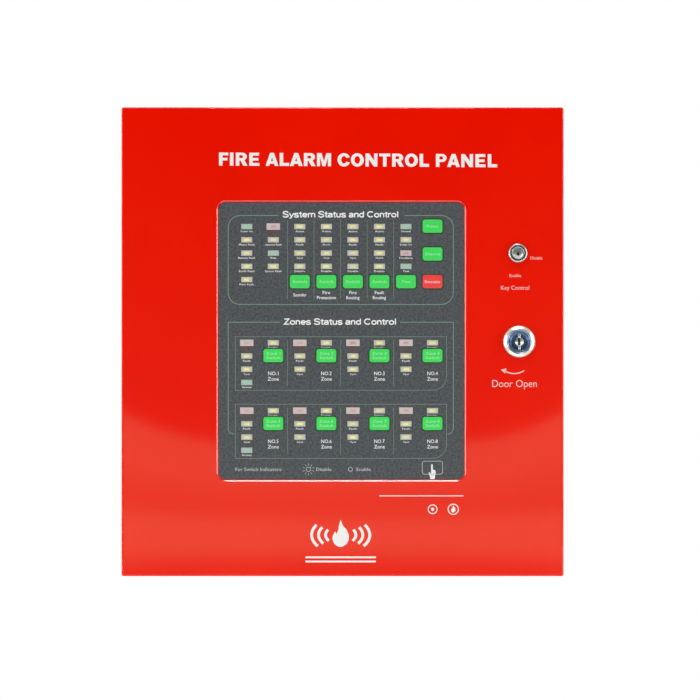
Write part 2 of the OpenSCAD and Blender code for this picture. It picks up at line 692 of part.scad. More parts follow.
module ribbon_cable() color("lightgray") {
    steps = 5;
    places = [for (j = [0 : (len(ribbon_route) - 1) * steps]) j / steps];
    side = function (t, s) let (f = heading(ribbon_route, t))
        along(ribbon_route, t) + s * ribbon_t / 2 * [-f[1], f[0]];
    translate([0, 0, ribbon_z - ribbon_w / 2]) linear_extrude(ribbon_w) polygon(concat(
        [for (t = places) side(t, 1)], [for (i = [len(places) - 1 : -1 : 0]) side(places[i], -1)]));
}

door_panel();
front_plate();
amber_windows();
green_windows();
red_windows();
status_leds();
keypad_board();
keypad_standoffs();
keypad_nuts();
tact_switches();
keypad_chips();
keypad_header();
buzzer();
lock_housing();
lock_nuts();
lock_plug();
lock_cam();
cam_screw();
key_switch_housing();
key_switch_rotor();
key_switch_contacts();
door_hinge_leaves();
box_hinge_leaves();
hinge_pins();
back_box();
door_gasket();
cable_grommets();
main_board();
board_standoffs();
fixing_screws();
terminal_blocks();
relays();
capacitors();
board_chips();
main_header();
fuses();
power_supply();
earth_stud();
batteries();
battery_tabs();
battery_bracket();
battery_leads();
supply_leads();
ribbon_cable();
for (k = keys) key_button(k);
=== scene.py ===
"""Looks of a wall-mounted fire alarm control panel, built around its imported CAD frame, in metres."""
import json
import math

import bmesh
import bpy
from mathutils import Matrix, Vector
from mathutils.geometry import tessellate_polygon


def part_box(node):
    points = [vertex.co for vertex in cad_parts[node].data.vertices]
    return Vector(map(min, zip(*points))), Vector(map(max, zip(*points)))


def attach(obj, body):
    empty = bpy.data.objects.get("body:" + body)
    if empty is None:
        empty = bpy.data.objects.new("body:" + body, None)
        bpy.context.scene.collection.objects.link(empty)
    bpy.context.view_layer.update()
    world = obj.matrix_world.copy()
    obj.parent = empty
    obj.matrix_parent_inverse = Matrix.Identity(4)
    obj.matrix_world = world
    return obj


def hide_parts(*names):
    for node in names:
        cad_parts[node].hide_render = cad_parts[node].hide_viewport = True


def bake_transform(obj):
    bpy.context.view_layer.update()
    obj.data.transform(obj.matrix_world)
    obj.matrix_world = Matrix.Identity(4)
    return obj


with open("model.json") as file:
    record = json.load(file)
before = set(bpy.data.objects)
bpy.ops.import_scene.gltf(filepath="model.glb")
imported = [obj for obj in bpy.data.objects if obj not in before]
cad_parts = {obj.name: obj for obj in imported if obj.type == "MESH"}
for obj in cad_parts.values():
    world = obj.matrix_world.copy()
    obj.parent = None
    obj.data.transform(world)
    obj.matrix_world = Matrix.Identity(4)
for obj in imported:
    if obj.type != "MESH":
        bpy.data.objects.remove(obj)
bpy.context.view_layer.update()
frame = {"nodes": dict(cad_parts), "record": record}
scene = bpy.context.scene


def centre(box):
    """The middle of a box (low, high)."""
    return (box[0] + box[1]) / 2


MM = 0.001
SHEET = 1.2 * MM  # thickness of the steel
PRINT = 0.03 * MM  # thickness of the printed legends
WELD = 1e-7  # points closer than this become one
CORNER_STEPS = 7  # points round one corner of an outline

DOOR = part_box("door_panel")
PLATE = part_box("front_plate")
DOOR_FACE = DOOR[0].y
PLATE_FACE = PLATE[0].y
LOCK = centre(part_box("lock_housing")).xz
SWITCH = centre(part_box("key_switch_housing")).xz


# ---------------------------------------------------------------- meshes

def arc(x, z, across, up, start, end, steps=14):
    """Points (x, z) along an ellipse, between two angles in degrees."""
    turn = [math.radians(start + (end - start) * i / (steps - 1)) for i in range(steps)]
    return [(x + across * math.cos(a), z + up * math.sin(a)) for a in turn]


def outline(width, height, radius, x=0.0, z=0.0, steps=CORNER_STEPS):
    """Points (x, z) round a rectangle with round corners, anticlockwise seen from the front."""
    points = []
    for sx, sz, start in ((1, 1, 0), (-1, 1, 90), (-1, -1, 180), (1, -1, 270)):
        corner = (x + sx * (width / 2 - radius), z + sz * (height / 2 - radius))
        points += arc(*corner, radius, radius, start, start + 90, steps)
    return points


def circle(radius, x=0.0, z=0.0, steps=4 * CORNER_STEPS):
    """Points (x, z) round a circle, in the same order as outline()."""
    turn = [2 * math.pi * i / steps for i in range(steps)]
    return [(x + radius * math.cos(a), z + radius * math.sin(a)) for a in turn]


def scaled(points, x=0.0, z=0.0, scale=MM):
    """Points (x, z) in millimetres, or another scale, moved to a place."""
    return [(x + px * scale, z + pz * scale) for px, pz in points]


def grown(box, amount, radius, steps=CORNER_STEPS):
    """The outline of a box seen from the front, grown by an amount."""
    low, high = box
    x, _, z = centre(box)
    return outline(high.x - low.x + 2 * amount, high.z - low.z + 2 * amount, radius, x, z, steps)


def at(points, y):
    """A flat loop of points (x, z), placed at a depth y."""
    return [(p[0], y, p[1]) for p in points]


class Shape:
    """Collects surfaces, and makes one mesh object of them."""

    def __init__(self):
        self.points = []
        self.faces = []

    def add(self, points, faces):
        """Points, and faces that count from the first of them."""
        start = len(self.points)
        self.points += points
        self.faces += [tuple(start + i for i in face) for face in faces]
        return self

    def loft(self, loops, close=False):
        """Walls from each loop to the next, which has as many points."""
        for a, b in list(zip(loops, loops[1:])) + ([(loops[-1], loops[0])] if close else []):
            n = len(a)
            self.add([*a, *b], [(i, (i + 1) % n, n + (i + 1) % n, n + i) for i in range(n)])
        return self

    def cap(self, *loops):
        """One flat face inside each loop."""
        for loop in loops:
            self.add(loop, [range(len(loop))])
        return self

    def fill(self, loops):
        """A flat area inside the first loop, with the other loops as its holes."""
        flat = [[Vector((p[0], p[2], 0)) for p in loop] for loop in loops]
        return self.add([p for loop in loops for p in loop], tessellate_polygon(flat))

    def block(self, low, high, edge=0.0):
        """A box with its edges along Y rounded, and a small edge at its front and back."""
        w, h = high[0] - low[0], high[2] - low[2]
        x, z = (low[0] + high[0]) / 2, (low[2] + high[2]) / 2
        e = min(edge, 0.3 * w, 0.3 * h, 0.3 * (high[1] - low[1]))
        rings = [at(outline(w - 2 * i, h - 2 * i, max(e - i, 0.2 * e), x, z, 3), y)
                 for i, y in ((e, low[1]), (0.3 * e, low[1] + 0.3 * e), (0, low[1] + e),
                              (0, high[1] - e), (0.3 * e, high[1] - 0.3 * e), (e, high[1]))]
        return self.loft(rings).cap(rings[0], rings[-1])

    def prism(self, points, front, back):
        """A solid with an outline (x, z) between two depths."""
        ends = [at(points, front), at(points, back)]
        return self.loft(ends).cap(*ends)

    def turned(self, place, y, profile, steps=64, close=False):
        """A form turned about Y at a place (x, z), from pairs of radius and depth from y in millimetres."""
        rings = [at(circle(r * MM, *place, steps), y + depth * MM) for r, depth in profile]
        self.loft(rings, close)
        return self if close else self.cap(rings[0], rings[-1])

    def mesh(self, name):
        """A mesh of all the surfaces, welded, with its faces turned outwards."""
        mesh = bpy.data.meshes.new(name)
        mesh.from_pydata(self.points, [], self.faces)
        b = bmesh.new()
        b.from_mesh(mesh)
        bmesh.ops.remove_doubles(b, verts=b.verts, dist=WELD)
        bmesh.ops.dissolve_degenerate(b, edges=b.edges, dist=WELD)
        bmesh.ops.recalc_face_normals(b, faces=b.faces)
        b.to_mesh(mesh)
        b.free()
        return mesh

    def piece(self, name, body, slot, finish=None, replaces=(), sharp=35):
        """The finished object on its body; its material is the slot's own one unless a finish is named."""
        mesh = self.mesh(name)
        mesh.polygons.foreach_set("use_smooth", [True] * len(mesh.polygons))
        mesh.set_sharp_from_angle(angle=math.radians(sharp))
        obj = linked(name, mesh)
        obj.modifiers.new("even_normals", "WEIGHTED_NORMAL").keep_sharp = True
        mesh.materials.append(FINISHES[finish or slot])
        if body:
            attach(obj, body)
        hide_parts(*replaces)
        return obj


def linked(name, data):
    """A new object in the scene."""
    obj = bpy.data.objects.new(name, data)
    scene.collection.objects.link(obj)
    return obj


def carve(obj, shape):
    """Cuts the solids of a shape out of a piece, and gives its mesh the result."""
    cutter = linked("cutter", shape.mesh("cutter"))
    cut = obj.modifiers.new("slot", "BOOLEAN")
    cut.operation, cut.solver, cut.object = "DIFFERENCE", "EXACT", cutter
    obj.modifiers.move(len(obj.modifiers) - 1, 0)
    even = obj.modifiers["even_normals"]
    even.show_viewport = False
    obj.data = bpy.data.meshes.new_from_object(obj.evaluated_get(bpy.context.evaluated_depsgraph_get()))
    obj.data.name = obj.name
    even.show_viewport = True
    obj.modifiers.remove(cut)
    bpy.data.objects.remove(cutter)


def solids(node):
    """The box (low, high) of each separate solid of a CAD node, from the top left to the bottom right."""
    b = bmesh.new()
    b.from_mesh(frame["nodes"][node].data)
    bmesh.ops.remove_doubles(b, verts=b.verts, dist=1e-6)
    boxes, seen = [], set()
    for first in b.verts:
        if first in seen:
            continue
        seen.add(first)
        group, todo = [], [first]
        while todo:
            v = todo.pop()
            group.append(v.co.copy())
            for other in (e.other_vert(v) for e in v.link_edges):
                if other not in seen:
                    seen.add(other)
                    todo.append(other)
        boxes.append((Vector(map(min, zip(*group))), Vector(map(max, zip(*group)))))
    b.free()
    return sorted(boxes, key=lambda s: (round(-s[0].z, 4), round(s[0].x, 4)))


def across(boxes):
    """Boxes from left to right."""
    return sorted(boxes, key=lambda b: b[0].x)


# ---------------------------------------------------------------- materials

FINISHES = {}  # every material by its name, which for a slot's own material is the slot's name


def rgb(r, g, b):
    """A linear colour from the 0 to 255 values of a screen colour."""
    return tuple((c / 255 / 12.92 if c <= 10 else ((c / 255 + 0.055) / 1.055) ** 2.4) for c in (r, g, b))


def toned(color, amount):
    """A colour made darker or lighter."""
    return tuple(min(1.0, c * amount) for c in color)


class Finish:
    """A procedural material around one principled shader."""

    def __init__(self, name, **sockets):
        material = bpy.data.materials.new(name)
        material.use_nodes = True
        self.material = FINISHES[name] = material
        self.tree = material.node_tree
        self.surface = self.tree.nodes["Principled BSDF"]
        self.place = self.tree.nodes.new("ShaderNodeTexCoord").outputs["Object"]
        for socket, value in sockets.items():
            self.surface.inputs[socket.replace("_", " ")].default_value = value

    def node(self, kind, inputs=(), **settings):
        """A new node; inputs are pairs of a socket and a value or another node's output."""
        n = self.tree.nodes.new("ShaderNode" + kind)
        for key, value in settings.items():
            setattr(n, key, value)
        for socket, value in inputs:
            if isinstance(value, bpy.types.NodeSocket):
                self.tree.links.new(value, n.inputs[socket])
            elif n.inputs[socket].type == "RGBA":
                n.inputs[socket].default_value = (*value[:3], 1)
            else:
                n.inputs[socket].default_value = value
        return n

    def noise(self, size, detail=3.0, stretch=None):
        """Noise whose features are about size metres across."""
        vector = self.place
        if stretch:
            vector = self.node("Mapping", [("Vector", vector), ("Scale", stretch)]).outputs[0]
        return self.node("TexNoise", [("Vector", vector), ("Scale", 1 / size), ("Detail", detail)]).outputs[0]

    def cells(self, size, output="Distance"):
        """Pattern of cells about size metres across."""
        return self.node("TexVoronoi", [("Vector", self.place), ("Scale", 1 / size)]).outputs[output]

    def range(self, value, low, high, start=0.3, end=0.7):
        """Value brought from start..end to low..high."""
        return self.node("MapRange", [("Value", value), ("From Min", start), ("From Max", end),
                                      ("To Min", low), ("To Max", high)]).outputs[0]

    def mix(self, factor, a, b):
        """A colour between a and b."""
        return self.node("Mix", data_type="RGBA", inputs=[(0, factor), (6, a), (7, b)]).outputs[2]

    def maths(self, operation, a, b=0.0):
        """The result of one operation on two values."""
        return self.node("Math", [(0, a), (1, b)], operation=operation).outputs[0]

    def set(self, **sockets):
        """Links outputs to sockets of the shader."""
        for socket, output in sockets.items():
            self.tree.links.new(output, self.surface.inputs[socket.replace("_", " ")])

    def bump(self, height, depth):
        """Relief of a given depth in metres on top of any relief before it."""
        inputs = [("Height", height), ("Distance", depth), ("Strength", 1.0)]
        before = self.surface.inputs["Normal"].links
        if before:
            inputs.append(("Normal", before[0].from_socket))
        self.set(Normal=self.node("Bump", inputs).outputs[0])


def plastic(name, color, rough=0.4, tone=0.06, depth=0.01 * MM, grain=0.4 * MM, **sockets):
    """Moulded or coated material: faint blotches, fine grain and uneven gloss."""
    f = Finish(name, **sockets)
    blotch = f.range(f.noise(18 * MM), 0, 1)
    fleck = f.range(f.noise(grain, 2), 0, 1)
    share = f.maths("MULTIPLY_ADD", blotch, 0.5)
    f.set(Base_Color=f.mix(share, toned(color, 1 - tone), toned(color, 1 + tone)),
          Roughness=f.range(f.noise(6 * MM, 4), rough * 0.85, rough * 1.15))
    f.bump(fleck, depth)


def metal(name, color, rough=0.3, tone=0.08, stretch=(1, 1, 1), grain=0.5 * MM, depth=0.006 * MM):
    """Plain or plated metal with brushing along one axis, stains and small dents."""
    f = Finish(name, Metallic=1.0)
    brushed = f.noise(grain, 4, stretch)
    stain = f.noise(9 * MM, 4)
    uneven = f.maths("ADD", f.maths("MULTIPLY", brushed, 0.6), f.maths("MULTIPLY", stain, 0.4))
    f.set(Base_Color=f.mix(f.range(stain, 0, 1), toned(color, 1 - tone), toned(color, 1 + tone)),
          Roughness=f.range(uneven, rough * 0.7, rough * 1.3, 0.35, 0.65))
    f.bump(brushed, depth)


def zinc_steel():
    """Zinc-coated sheet with crystals of slightly different greys."""
    f = Finish("zinc_steel", Metallic=1.0)
    spangle = f.cells(5 * MM, "Color")
    f.set(Base_Color=f.mix(spangle, (0.56, 0.57, 0.58), (0.70, 0.71, 0.72)),
          Roughness=f.range(f.maths("ADD", spangle, f.noise(2 * MM, 3)), 0.3, 0.44, 0.5, 1.5))
    f.bump(f.noise(0.7 * MM, 3), 0.004 * MM)


def red_paint():
    """Gloss red enamel on folded steel, with slight orange peel and fine dust nibs."""
    f = Finish("red_paint", IOR=1.5)
    wide = f.range(f.noise(90 * MM, 2), 0, 1)
    f.set(Base_Color=f.mix(wide, rgb(245, 18, 0), rgb(249, 22, 0)),
          Roughness=f.range(f.noise(4 * MM, 4), 0.04, 0.07))
    f.bump(f.noise(3.2 * MM, 1), 0.0015 * MM)
    f.bump(f.range(f.cells(11 * MM), 1, 0, 0.0, 0.03), 0.01 * MM)


def plate_film():
    """Dark grey overlay film with a fine pebbled grain."""
    f = Finish("plate_film", IOR=1.45)
    speck = f.range(f.noise(1.9 * MM, 2), 0, 1)
    f.set(Base_Color=f.mix(speck, rgb(62, 67, 69), rgb(95, 97, 101)),
          Roughness=f.range(f.noise(7 * MM, 3), 0.42, 0.55))
    f.bump(f.cells(0.55 * MM), 0.02 * MM)


def window_lens(name, edge, glow):
    """Frosted lens with the lamp behind it painted into its base colour as a soft spot: a painted glow, with
    no emission.
    """
    f = Finish(name, IOR=1.49)
    spot = f.node("Attribute", attribute_name="from_centre").outputs["Fac"]
    uneven = f.maths("MULTIPLY", f.maths("SUBTRACT", f.noise(1.5 * MM), 0.5), 0.7)
    ring = f.range(f.maths("ADD", spot, uneven), 1, 0, 0.45, 1.2)
    each = f.range(f.noise(13 * MM, 0), 0.55, 1, 0.35, 0.6)
    # base colour goes from the rim's colour to a painted glow over the lamp; the red lenses' spot is darker
    # than their rim
    f.set(Base_Color=f.mix(f.maths("MULTIPLY", ring, each), edge, glow),
          Roughness=f.range(f.noise(2 * MM), 0.25, 0.4))
    f.bump(f.noise(0.35 * MM, 2), 0.01 * MM)


def circuit_board():
    """Green solder mask over the weave of glass cloth, with darker patches between copper areas."""
    f = Finish("circuit_board", IOR=1.5, Coat_Weight=0.3, Coat_Roughness=0.15)
    threads = [f.node("TexWave", [("Vector", f.place), ("Scale", 180.0), ("Distortion", 0.6)],
                      bands_direction=way).outputs[1] for way in "XZ"]
    weave = f.maths("MULTIPLY", *threads)
    base = f.mix(f.range(f.noise(22 * MM), 0, 1), rgb(10, 78, 42), rgb(16, 94, 52))
    f.set(Base_Color=f.mix(f.maths("MULTIPLY", weave, 0.35), base, rgb(30, 116, 68)),
          Roughness=f.range(f.noise(1 * MM), 0.3, 0.42))
    f.bump(weave, 0.01 * MM)


PLASTICS = {  # screen colour, roughness, variation of tone, and depth of the grain in mm
    "keyway_shadow": ((10, 11, 14), 0.6, 0.2, 0.01),
    "grey_ink": ((206, 210, 208), 0.5, 0.02, 0.01),
    "pale_ink": ((252, 214, 206), 0.5, 0.03, 0.01),
    "white_ink": ((250, 250, 248), 0.5, 0.01, 0.01),
    "green_ink": ((122, 156, 134), 0.5, 0.04, 0.01),
    # painted shade round the keys, where the gap between key and plate lies in shade; not an ink
    "dark_green_ink": ((36, 74, 48), 0.5, 0.05, 0.01),
    "red_ink": ((150, 60, 17), 0.5, 0.04, 0.01),
    "key_ink_green": ((158, 248, 172), 0.5, 0.02, 0.01),
    "key_ink_red": ((255, 214, 210), 0.5, 0.02, 0.01),
    "mask_over_copper": ((44, 134, 78), 0.32, 0.04, 0.01),
    "silkscreen": ((226, 230, 222), 0.55, 0.04, 0.01),
    "red_insulation": ((188, 22, 20), 0.36, 0.06, 0.004),
    "black_insulation": ((24, 24, 26), 0.36, 0.15, 0.004),
    "brown_insulation": ((104, 58, 32), 0.36, 0.06, 0.004),
    "blue_insulation": ((34, 86, 178), 0.36, 0.06, 0.004),
    "green_insulation": ((70, 146, 48), 0.36, 0.06, 0.004),
    "lead_insulation": ((170, 24, 24), 0.4, 0.06, 0.01),
    "supply_insulation": ((40, 84, 170), 0.4, 0.06, 0.01),
    "ribbon_insulation": ((186, 188, 188), 0.45, 0.06, 0.01),
    "white_nylon": ((226, 224, 212), 0.45, 0.06, 0.01),
    "ivory_plastic": ((222, 214, 190), 0.4, 0.06, 0.01),
    "black_plastic": ((30, 30, 32), 0.42, 0.15, 0.01),
    "terminal_green": ((38, 128, 72), 0.4, 0.06, 0.01),
    "relay_white": ((228, 230, 228), 0.35, 0.06, 0.01),
    "capacitor_sleeve": ((28, 40, 92), 0.25, 0.06, 0.003),
}


def make_finishes():
    """Every material, under its name in FINISHES."""
    red_paint()
    plate_film()
    zinc_steel()
    circuit_board()
    for name, (color, rough, tone, depth) in PLASTICS.items():
        plastic(name, rgb(*color), rough, tone, depth * MM)
    plastic("black_rubber", rgb(28, 28, 29), 0.65, 0.2, 0.03 * MM, 0.5 * MM)
    plastic("battery_case", rgb(52, 55, 60), 0.45, 0.1, 0.03 * MM, 0.8 * MM)
    plastic("fuse_glass", rgb(206, 214, 214), 0.12, depth=0.002 * MM, Transmission_Weight=0.4)
    plastic("led_epoxy", rgb(232, 226, 190), 0.2, depth=0.002 * MM, Transmission_Weight=0.3)
    plastic("green_key", rgb(72, 226, 98), 0.38, 0.03, IOR=1.45)
    plastic("red_key", rgb(250, 72, 72), 0.38, 0.03, IOR=1.45)
    # the second colour of each lens is its painted glow over the lamp behind it
    window_lens("amber_lens", rgb(205, 202, 192), rgb(255, 253, 158))
    window_lens("green_lens", rgb(184, 200, 190), rgb(160, 216, 180))
    window_lens("red_lens", rgb(220, 202, 198), rgb(204, 160, 168))
    metal("bezel_chrome", (0.74, 0.70, 0.64), 0.24, 0.02, grain=1.2 * MM, depth=0.001 * MM)
    metal("plug_steel", (0.72, 0.72, 0.72), 0.2, stretch=(1, 1, 0.08))
    # a dark copy of the plug and rotor steel: painted dark reflection on the plug's face, painted shade in
    # the rotor's groove
    metal("dark_steel", (0.14, 0.20, 0.46), 0.26, stretch=(1, 1, 0.2))
    # the chrome of the lock's dish with a painted dark blue reflection in its colour
    metal("blue_steel", (0.26, 0.34, 0.50), 0.22, stretch=(1, 1, 0.2))
    # a light copy of the plug's steel: painted highlight on the lock's hub and the pads beside it
    metal("bright_steel", (0.88, 0.87, 0.82), 0.3, 0.04, stretch=(1, 1, 0.2))
    metal("rotor_steel", (0.78, 0.78, 0.75), 0.34, 0.05, stretch=(0.2, 1, 1), grain=0.4 * MM)
    metal("brass", (0.80, 0.60, 0.28), 0.25, 0.12)
    metal("tinned_pads", (0.80, 0.80, 0.78), 0.28, 0.1)


# ---------------------------------------------------------------- lettering

def text_curve(text):
    """An object that shows text in the built-in font."""
    curve = bpy.data.curves.new("lettering", "FONT")
    curve.body = text
    return linked("lettering", curve)


def cap_height():
    """Height of a capital in the built-in font at size 1."""
    obj = text_curve("H")
    bpy.context.view_layer.update()
    height = obj.dimensions.y
    bpy.data.objects.remove(obj)
    return height


CAP_HEIGHT = cap_height()


def words(shape, text, x, z, y, cap, width=None, bold=0.01, resolution=2):
    """Adds text in the built-in font to a shape, its middle at x, z on the face at depth y; sizes in mm."""
    obj = text_curve(text)
    obj.data.resolution_u = resolution
    obj.data.offset = bold
    obj.data.extrude = 0.01
    mesh = bpy.data.meshes.new_from_object(obj.evaluated_get(bpy.context.evaluated_depsgraph_get()))
    bpy.data.objects.remove(obj)
    xs = [v.co.x for v in mesh.vertices]
    tall = cap * MM / CAP_HEIGHT
    wide = width * MM / (max(xs) - min(xs)) if width else tall
    middle = (max(xs) + min(xs)) / 2
    points = [(x + (co.x - middle) * wide, y - (PRINT if co.z > 0 else 0), z + (co.y - CAP_HEIGHT / 2) * tall)
              for co in (v.co for v in mesh.vertices)]
    shape.add(points, [p.vertices for p in mesh.polygons])
    bpy.data.meshes.remove(mesh)


def line(shape, points, width, y, close=False):
    """A printed line along points (x, z), with a constant width in mm."""
    n = len(points)
    sections = []
    for i, p in enumerate(points):
        before = points[i - 1] if i or close else p
        after = points[(i + 1) % n] if i < n - 1 or close else p
        a = Vector((p[0] - before[0], p[1] - before[1]))
        b = Vector((after[0] - p[0], after[1] - p[1]))
        a, b = (a if a.length else b).normalized(), (b if b.length else a).normalized()
        side = Vector((-(a + b).y, (a + b).x)).normalized()
        side *= width * MM / 2 / max(0.3, side.dot(Vector((-a.y, a.x))))
        left, right = (p[0] + side.x, p[1] + side.y), (p[0] - side.x, p[1] - side.y)
        sections.append(at([left], y) + at([left, right], y - PRINT) + at([right], y))
    shape.loft(sections, close)
    if not close:
        shape.cap(sections[0], sections[-1])


def patch(shape, points, y):
    """A printed area inside points (x, z)."""
    faces = [at(points, y), at(points, y - PRINT)]
    shape.loft(faces).fill(faces[:1]).fill(faces[1:])


def smooth_route(points, steps=8):
    """A Catmull-Rom curve through points, the same one that the CAD leads follow."""
    result = []
    last = len(points) - 1
    for j in range(last * steps + 1):
        i = min(j // steps, last - 1)
        u = j / steps - i
        a, b, c, d = (Vector(points[min(max(k, 0), last)]) for k in (i - 1, i, i + 1, i + 2))
        bend = (2 * a - 5 * b + 4 * c - d) * u * u + (3 * b - a - 3 * c + d) * u ** 3
        result.append((2 * b + (c - a) * u + bend) / 2)
    return result


def heavy_capitals():
    """Outlines of the title's heavy grotesque capitals, one unit high: width, outline and hole of each."""
    stem, bar, mid = 0.265, 0.215, 0.40
    top = 1 - bar
    spine = [(0, 1), (0, 0)]
    upper_arm = [(stem, mid + 0.2), (stem, top)]
    p_bowl = arc(0.47, 0.69, 0.34, 0.31, -90, 90)
    p_eye = arc(0.44, 0.69, 0.11, 0.12, -80, 80, 8)
    p_hole = [(stem, 0.57), (0.44, 0.57), *p_eye, (0.44, 0.81), (stem, 0.81)]
    r_bowl = arc(0.49, 0.70, 0.345, 0.30, -58, 90)
    r_eye = arc(0.45, 0.695, 0.11, 0.11, -80, 80, 8)
    r_hole = [(stem, 0.585), (0.45, 0.585), *r_eye, (0.45, 0.805), (stem, 0.805)]
    c_outside = arc(0.49, 0.5, 0.49, 0.515, 24, 336, 24)
    c_inside = arc(0.49, 0.5, 0.21, 0.29, 326, 34, 18)
    return {
        "F": (0.70, [*spine, (stem, 0), (stem, mid), (0.64, mid), (0.64, mid + 0.2), *upper_arm,
                     (0.70, top), (0.70, 1)], None),
        "I": (stem, [*spine, (stem, 0), (stem, 1)], None),
        "E": (0.76, [*spine, (0.77, 0), (0.77, bar), (stem, bar), (stem, mid), (0.70, mid), (0.70, mid + 0.2),
                     *upper_arm, (0.75, top), (0.75, 1)], None),
        "L": (0.72, [*spine, (0.72, 0), (0.72, bar + 0.02), (stem, bar + 0.02), (stem, 1)], None),
        "T": (0.84, [(0.287, 0), (0.553, 0), (0.553, top), (0.84, top), (0.84, 1), (0, 1), (0, top),
                     (0.287, top)], None),
        "N": (0.90, [*spine, (0.25, 0), (0.25, 0.55), (0.635, 0), (0.90, 0), (0.90, 1), (0.65, 1),
                     (0.65, 0.46), (0.265, 1)], None),
        "M": (1.07, [*spine, (0.235, 0), (0.235, 0.70), (0.43, 0), (0.64, 0), (0.835, 0.70), (0.835, 0),
                     (1.07, 0), (1.07, 1), (0.72, 1), (0.535, 0.38), (0.35, 1)], None),
        "A": (0.97, [(0, 0), (0.275, 0), (0.33, 0.17), (0.64, 0.17), (0.695, 0), (0.97, 0), (0.63, 1),
                     (0.34, 1)], [(0.395, 0.37), (0.575, 0.37), (0.485, 0.66)]),
        "O": (0.99, arc(0.495, 0.5, 0.495, 0.515, 0, 345, 24), arc(0.495, 0.5, 0.215, 0.295, 0, 340, 18)),
        "C": (0.93, [*c_outside, (0.69, 0.36), *c_inside, (0.69, 0.64)], None),
        "P": (0.80, [*spine, (stem, 0), (stem, 0.38), *p_bowl], p_hole),
        "R": (0.89, [*spine, (stem, 0), (stem, 0.385), (0.36, 0.385), (0.57, 0), (0.89, 0), (0.665, 0.42),
                     *r_bowl], r_hole),
    }


def title(shape, text, x, z, y, cap, width, tilt):
    """The title in heavy capitals, centred at x, z and tilted by an angle in degrees; sizes in mm."""
    glyphs = heavy_capitals()
    space, round_side, straight = 0.39, 0.04, 0.09
    bearing = {"A": 0.01, "O": round_side, "C": round_side, "T": 0.05, "M": 0.06}
    pen, letters = 0.0, []
    for letter in text:
        if letter == " ":
            pen += space
            continue
        pen += bearing.get(letter, straight)
        letters.append((pen, *glyphs[letter][1:]))
        pen += glyphs[letter][0] + bearing.get(letter, straight if letter in "INME" else round_side)
    wide = width * MM / pen
    slope = math.tan(math.radians(tilt))
    for start, *loops in letters:
        placed = []
        for loop in filter(None, loops):
            run = [(start + px) * wide - width * MM / 2 for px, _ in loop]
            placed.append([(x + r, z + (pz - 0.5) * cap * MM + slope * r) for r, (_, pz) in zip(run, loop)])
        for loop in placed:
            shape.loft([at(loop, y), at(loop, y - PRINT)])
        for depth in (y, y - PRINT):
            shape.fill([at(loop, depth) for loop in placed])


def bold_strokes():
    """Upright grotesque letters as strokes, with a capital one unit high: letter -> (advance, strokes)."""
    bend = [(0.94, 0.75), (0.84, 0.9), (0.5, 0.97), (0.17, 0.89), (0.07, 0.74), (0.17, 0.6), (0.5, 0.51),
            (0.85, 0.41), (0.96, 0.26), (0.86, 0.1), (0.5, 0.03), (0.15, 0.1), (0.04, 0.27)]
    arch = [(0.08, 0.45), (0.13, 0.6), (0.25, 0.66), (0.38, 0.61), (0.43, 0.46), (0.43, 0.0)]
    stem = [(0.08, 0.0), (0.08, 0.7)]
    return {
        "S": (0.68, [[(0.04 + 0.58 * a, b) for a, b in bend]]),
        "s": (0.52, [[(0.03 + 0.43 * a, 0.01 + 0.68 * b) for a, b in bend]]),
        "y": (0.53, [[(0.04, 0.7), (0.27, 0.08)], [(0.49, 0.7), (0.26, 0.02), (0.19, -0.13), (0.05, -0.15)]]),
        "t": (0.34, [[(0.17, 0.92), (0.17, 0.16), (0.21, 0.07), (0.32, 0.06)], [(0.01, 0.66), (0.32, 0.66)]]),
        "e": (0.56, [[(0.06, 0.36), (0.5, 0.36)], arc(0.28, 0.35, 0.22, 0.3, 0, 318, 18)]),
        "m": (0.82, [stem, arch[:-1] + [(0.4, 0.0)], [(a + 0.32, b) for a, b in arch]]),
        "n": (0.53, [stem, arch]),
        "a": (0.54, [[(0.07, 0.5), (0.12, 0.61), (0.26, 0.66), (0.4, 0.61), (0.44, 0.48), (0.44, 0.14),
                      (0.49, 0.02)],
                     [(0.44, 0.42), (0.18, 0.35), (0.07, 0.26), (0.07, 0.13), (0.17, 0.05), (0.32, 0.08),
                      (0.44, 0.2)]]),
        "u": (0.53, [[(0.08, 0.7), (0.08, 0.22), (0.13, 0.09), (0.25, 0.05), (0.38, 0.1), (0.43, 0.22)],
                     [(0.43, 0.7), (0.43, 0.0)]]),
        "d": (0.56, [[(0.47, 1.0), (0.47, 0.0)], arc(0.27, 0.35, 0.2, 0.3, 0, 360, 21)]),
        "o": (0.57, [arc(0.28, 0.35, 0.22, 0.3, 0, 360, 21)]),
        "C": (0.74, [arc(0.38, 0.5, 0.32, 0.44, 42, 318, 16)]),
        "r": (0.36, [stem, [(0.08, 0.4), (0.13, 0.58), (0.22, 0.65), (0.34, 0.63)]]),
        "l": (0.24, [[(0.11, 0.0), (0.11, 1.0)]]),
        "Z": (0.62, [[(0.05, 0.93), (0.52, 0.93), (0.07, 0.07), (0.57, 0.07)]]),
        " ": (0.28, []),
    }


def heading(shape, text, x, z, y, cap, width):
    """A bold line of text, centred at (x, z) and fitted to a width; sizes in mm."""
    letters = bold_strokes()
    unit = width * MM / sum(letters[c][0] for c in text)
    pen = x - width * MM / 2
    for c in text:
        advance, strokes = letters[c]
        for i, stroke in enumerate(strokes):
            if c != "Z" and 4 <= len(stroke) <= 13:
                stroke = [p[:2] for p in smooth_route([(a, b, 0) for a, b in stroke], 4)]
            path = [(pen + a * unit, z + (b - 0.5) * cap * MM) for a, b in stroke]
            line(shape, path, 0.195 * cap, y - 0.3 * i * PRINT)
        pen += advance * unit


# ---------------------------------------------------------------- camera, light and stage

PICTURE_WIDTH = 1.5824 * (DOOR[1].x - DOOR[0].x)  # what the picture shows from side to side
CAMERA_DISTANCE = 3.0
AIM = Vector((6.4 * MM, DOOR_FACE, -7.1 * MM))
FLOOR = -0.75


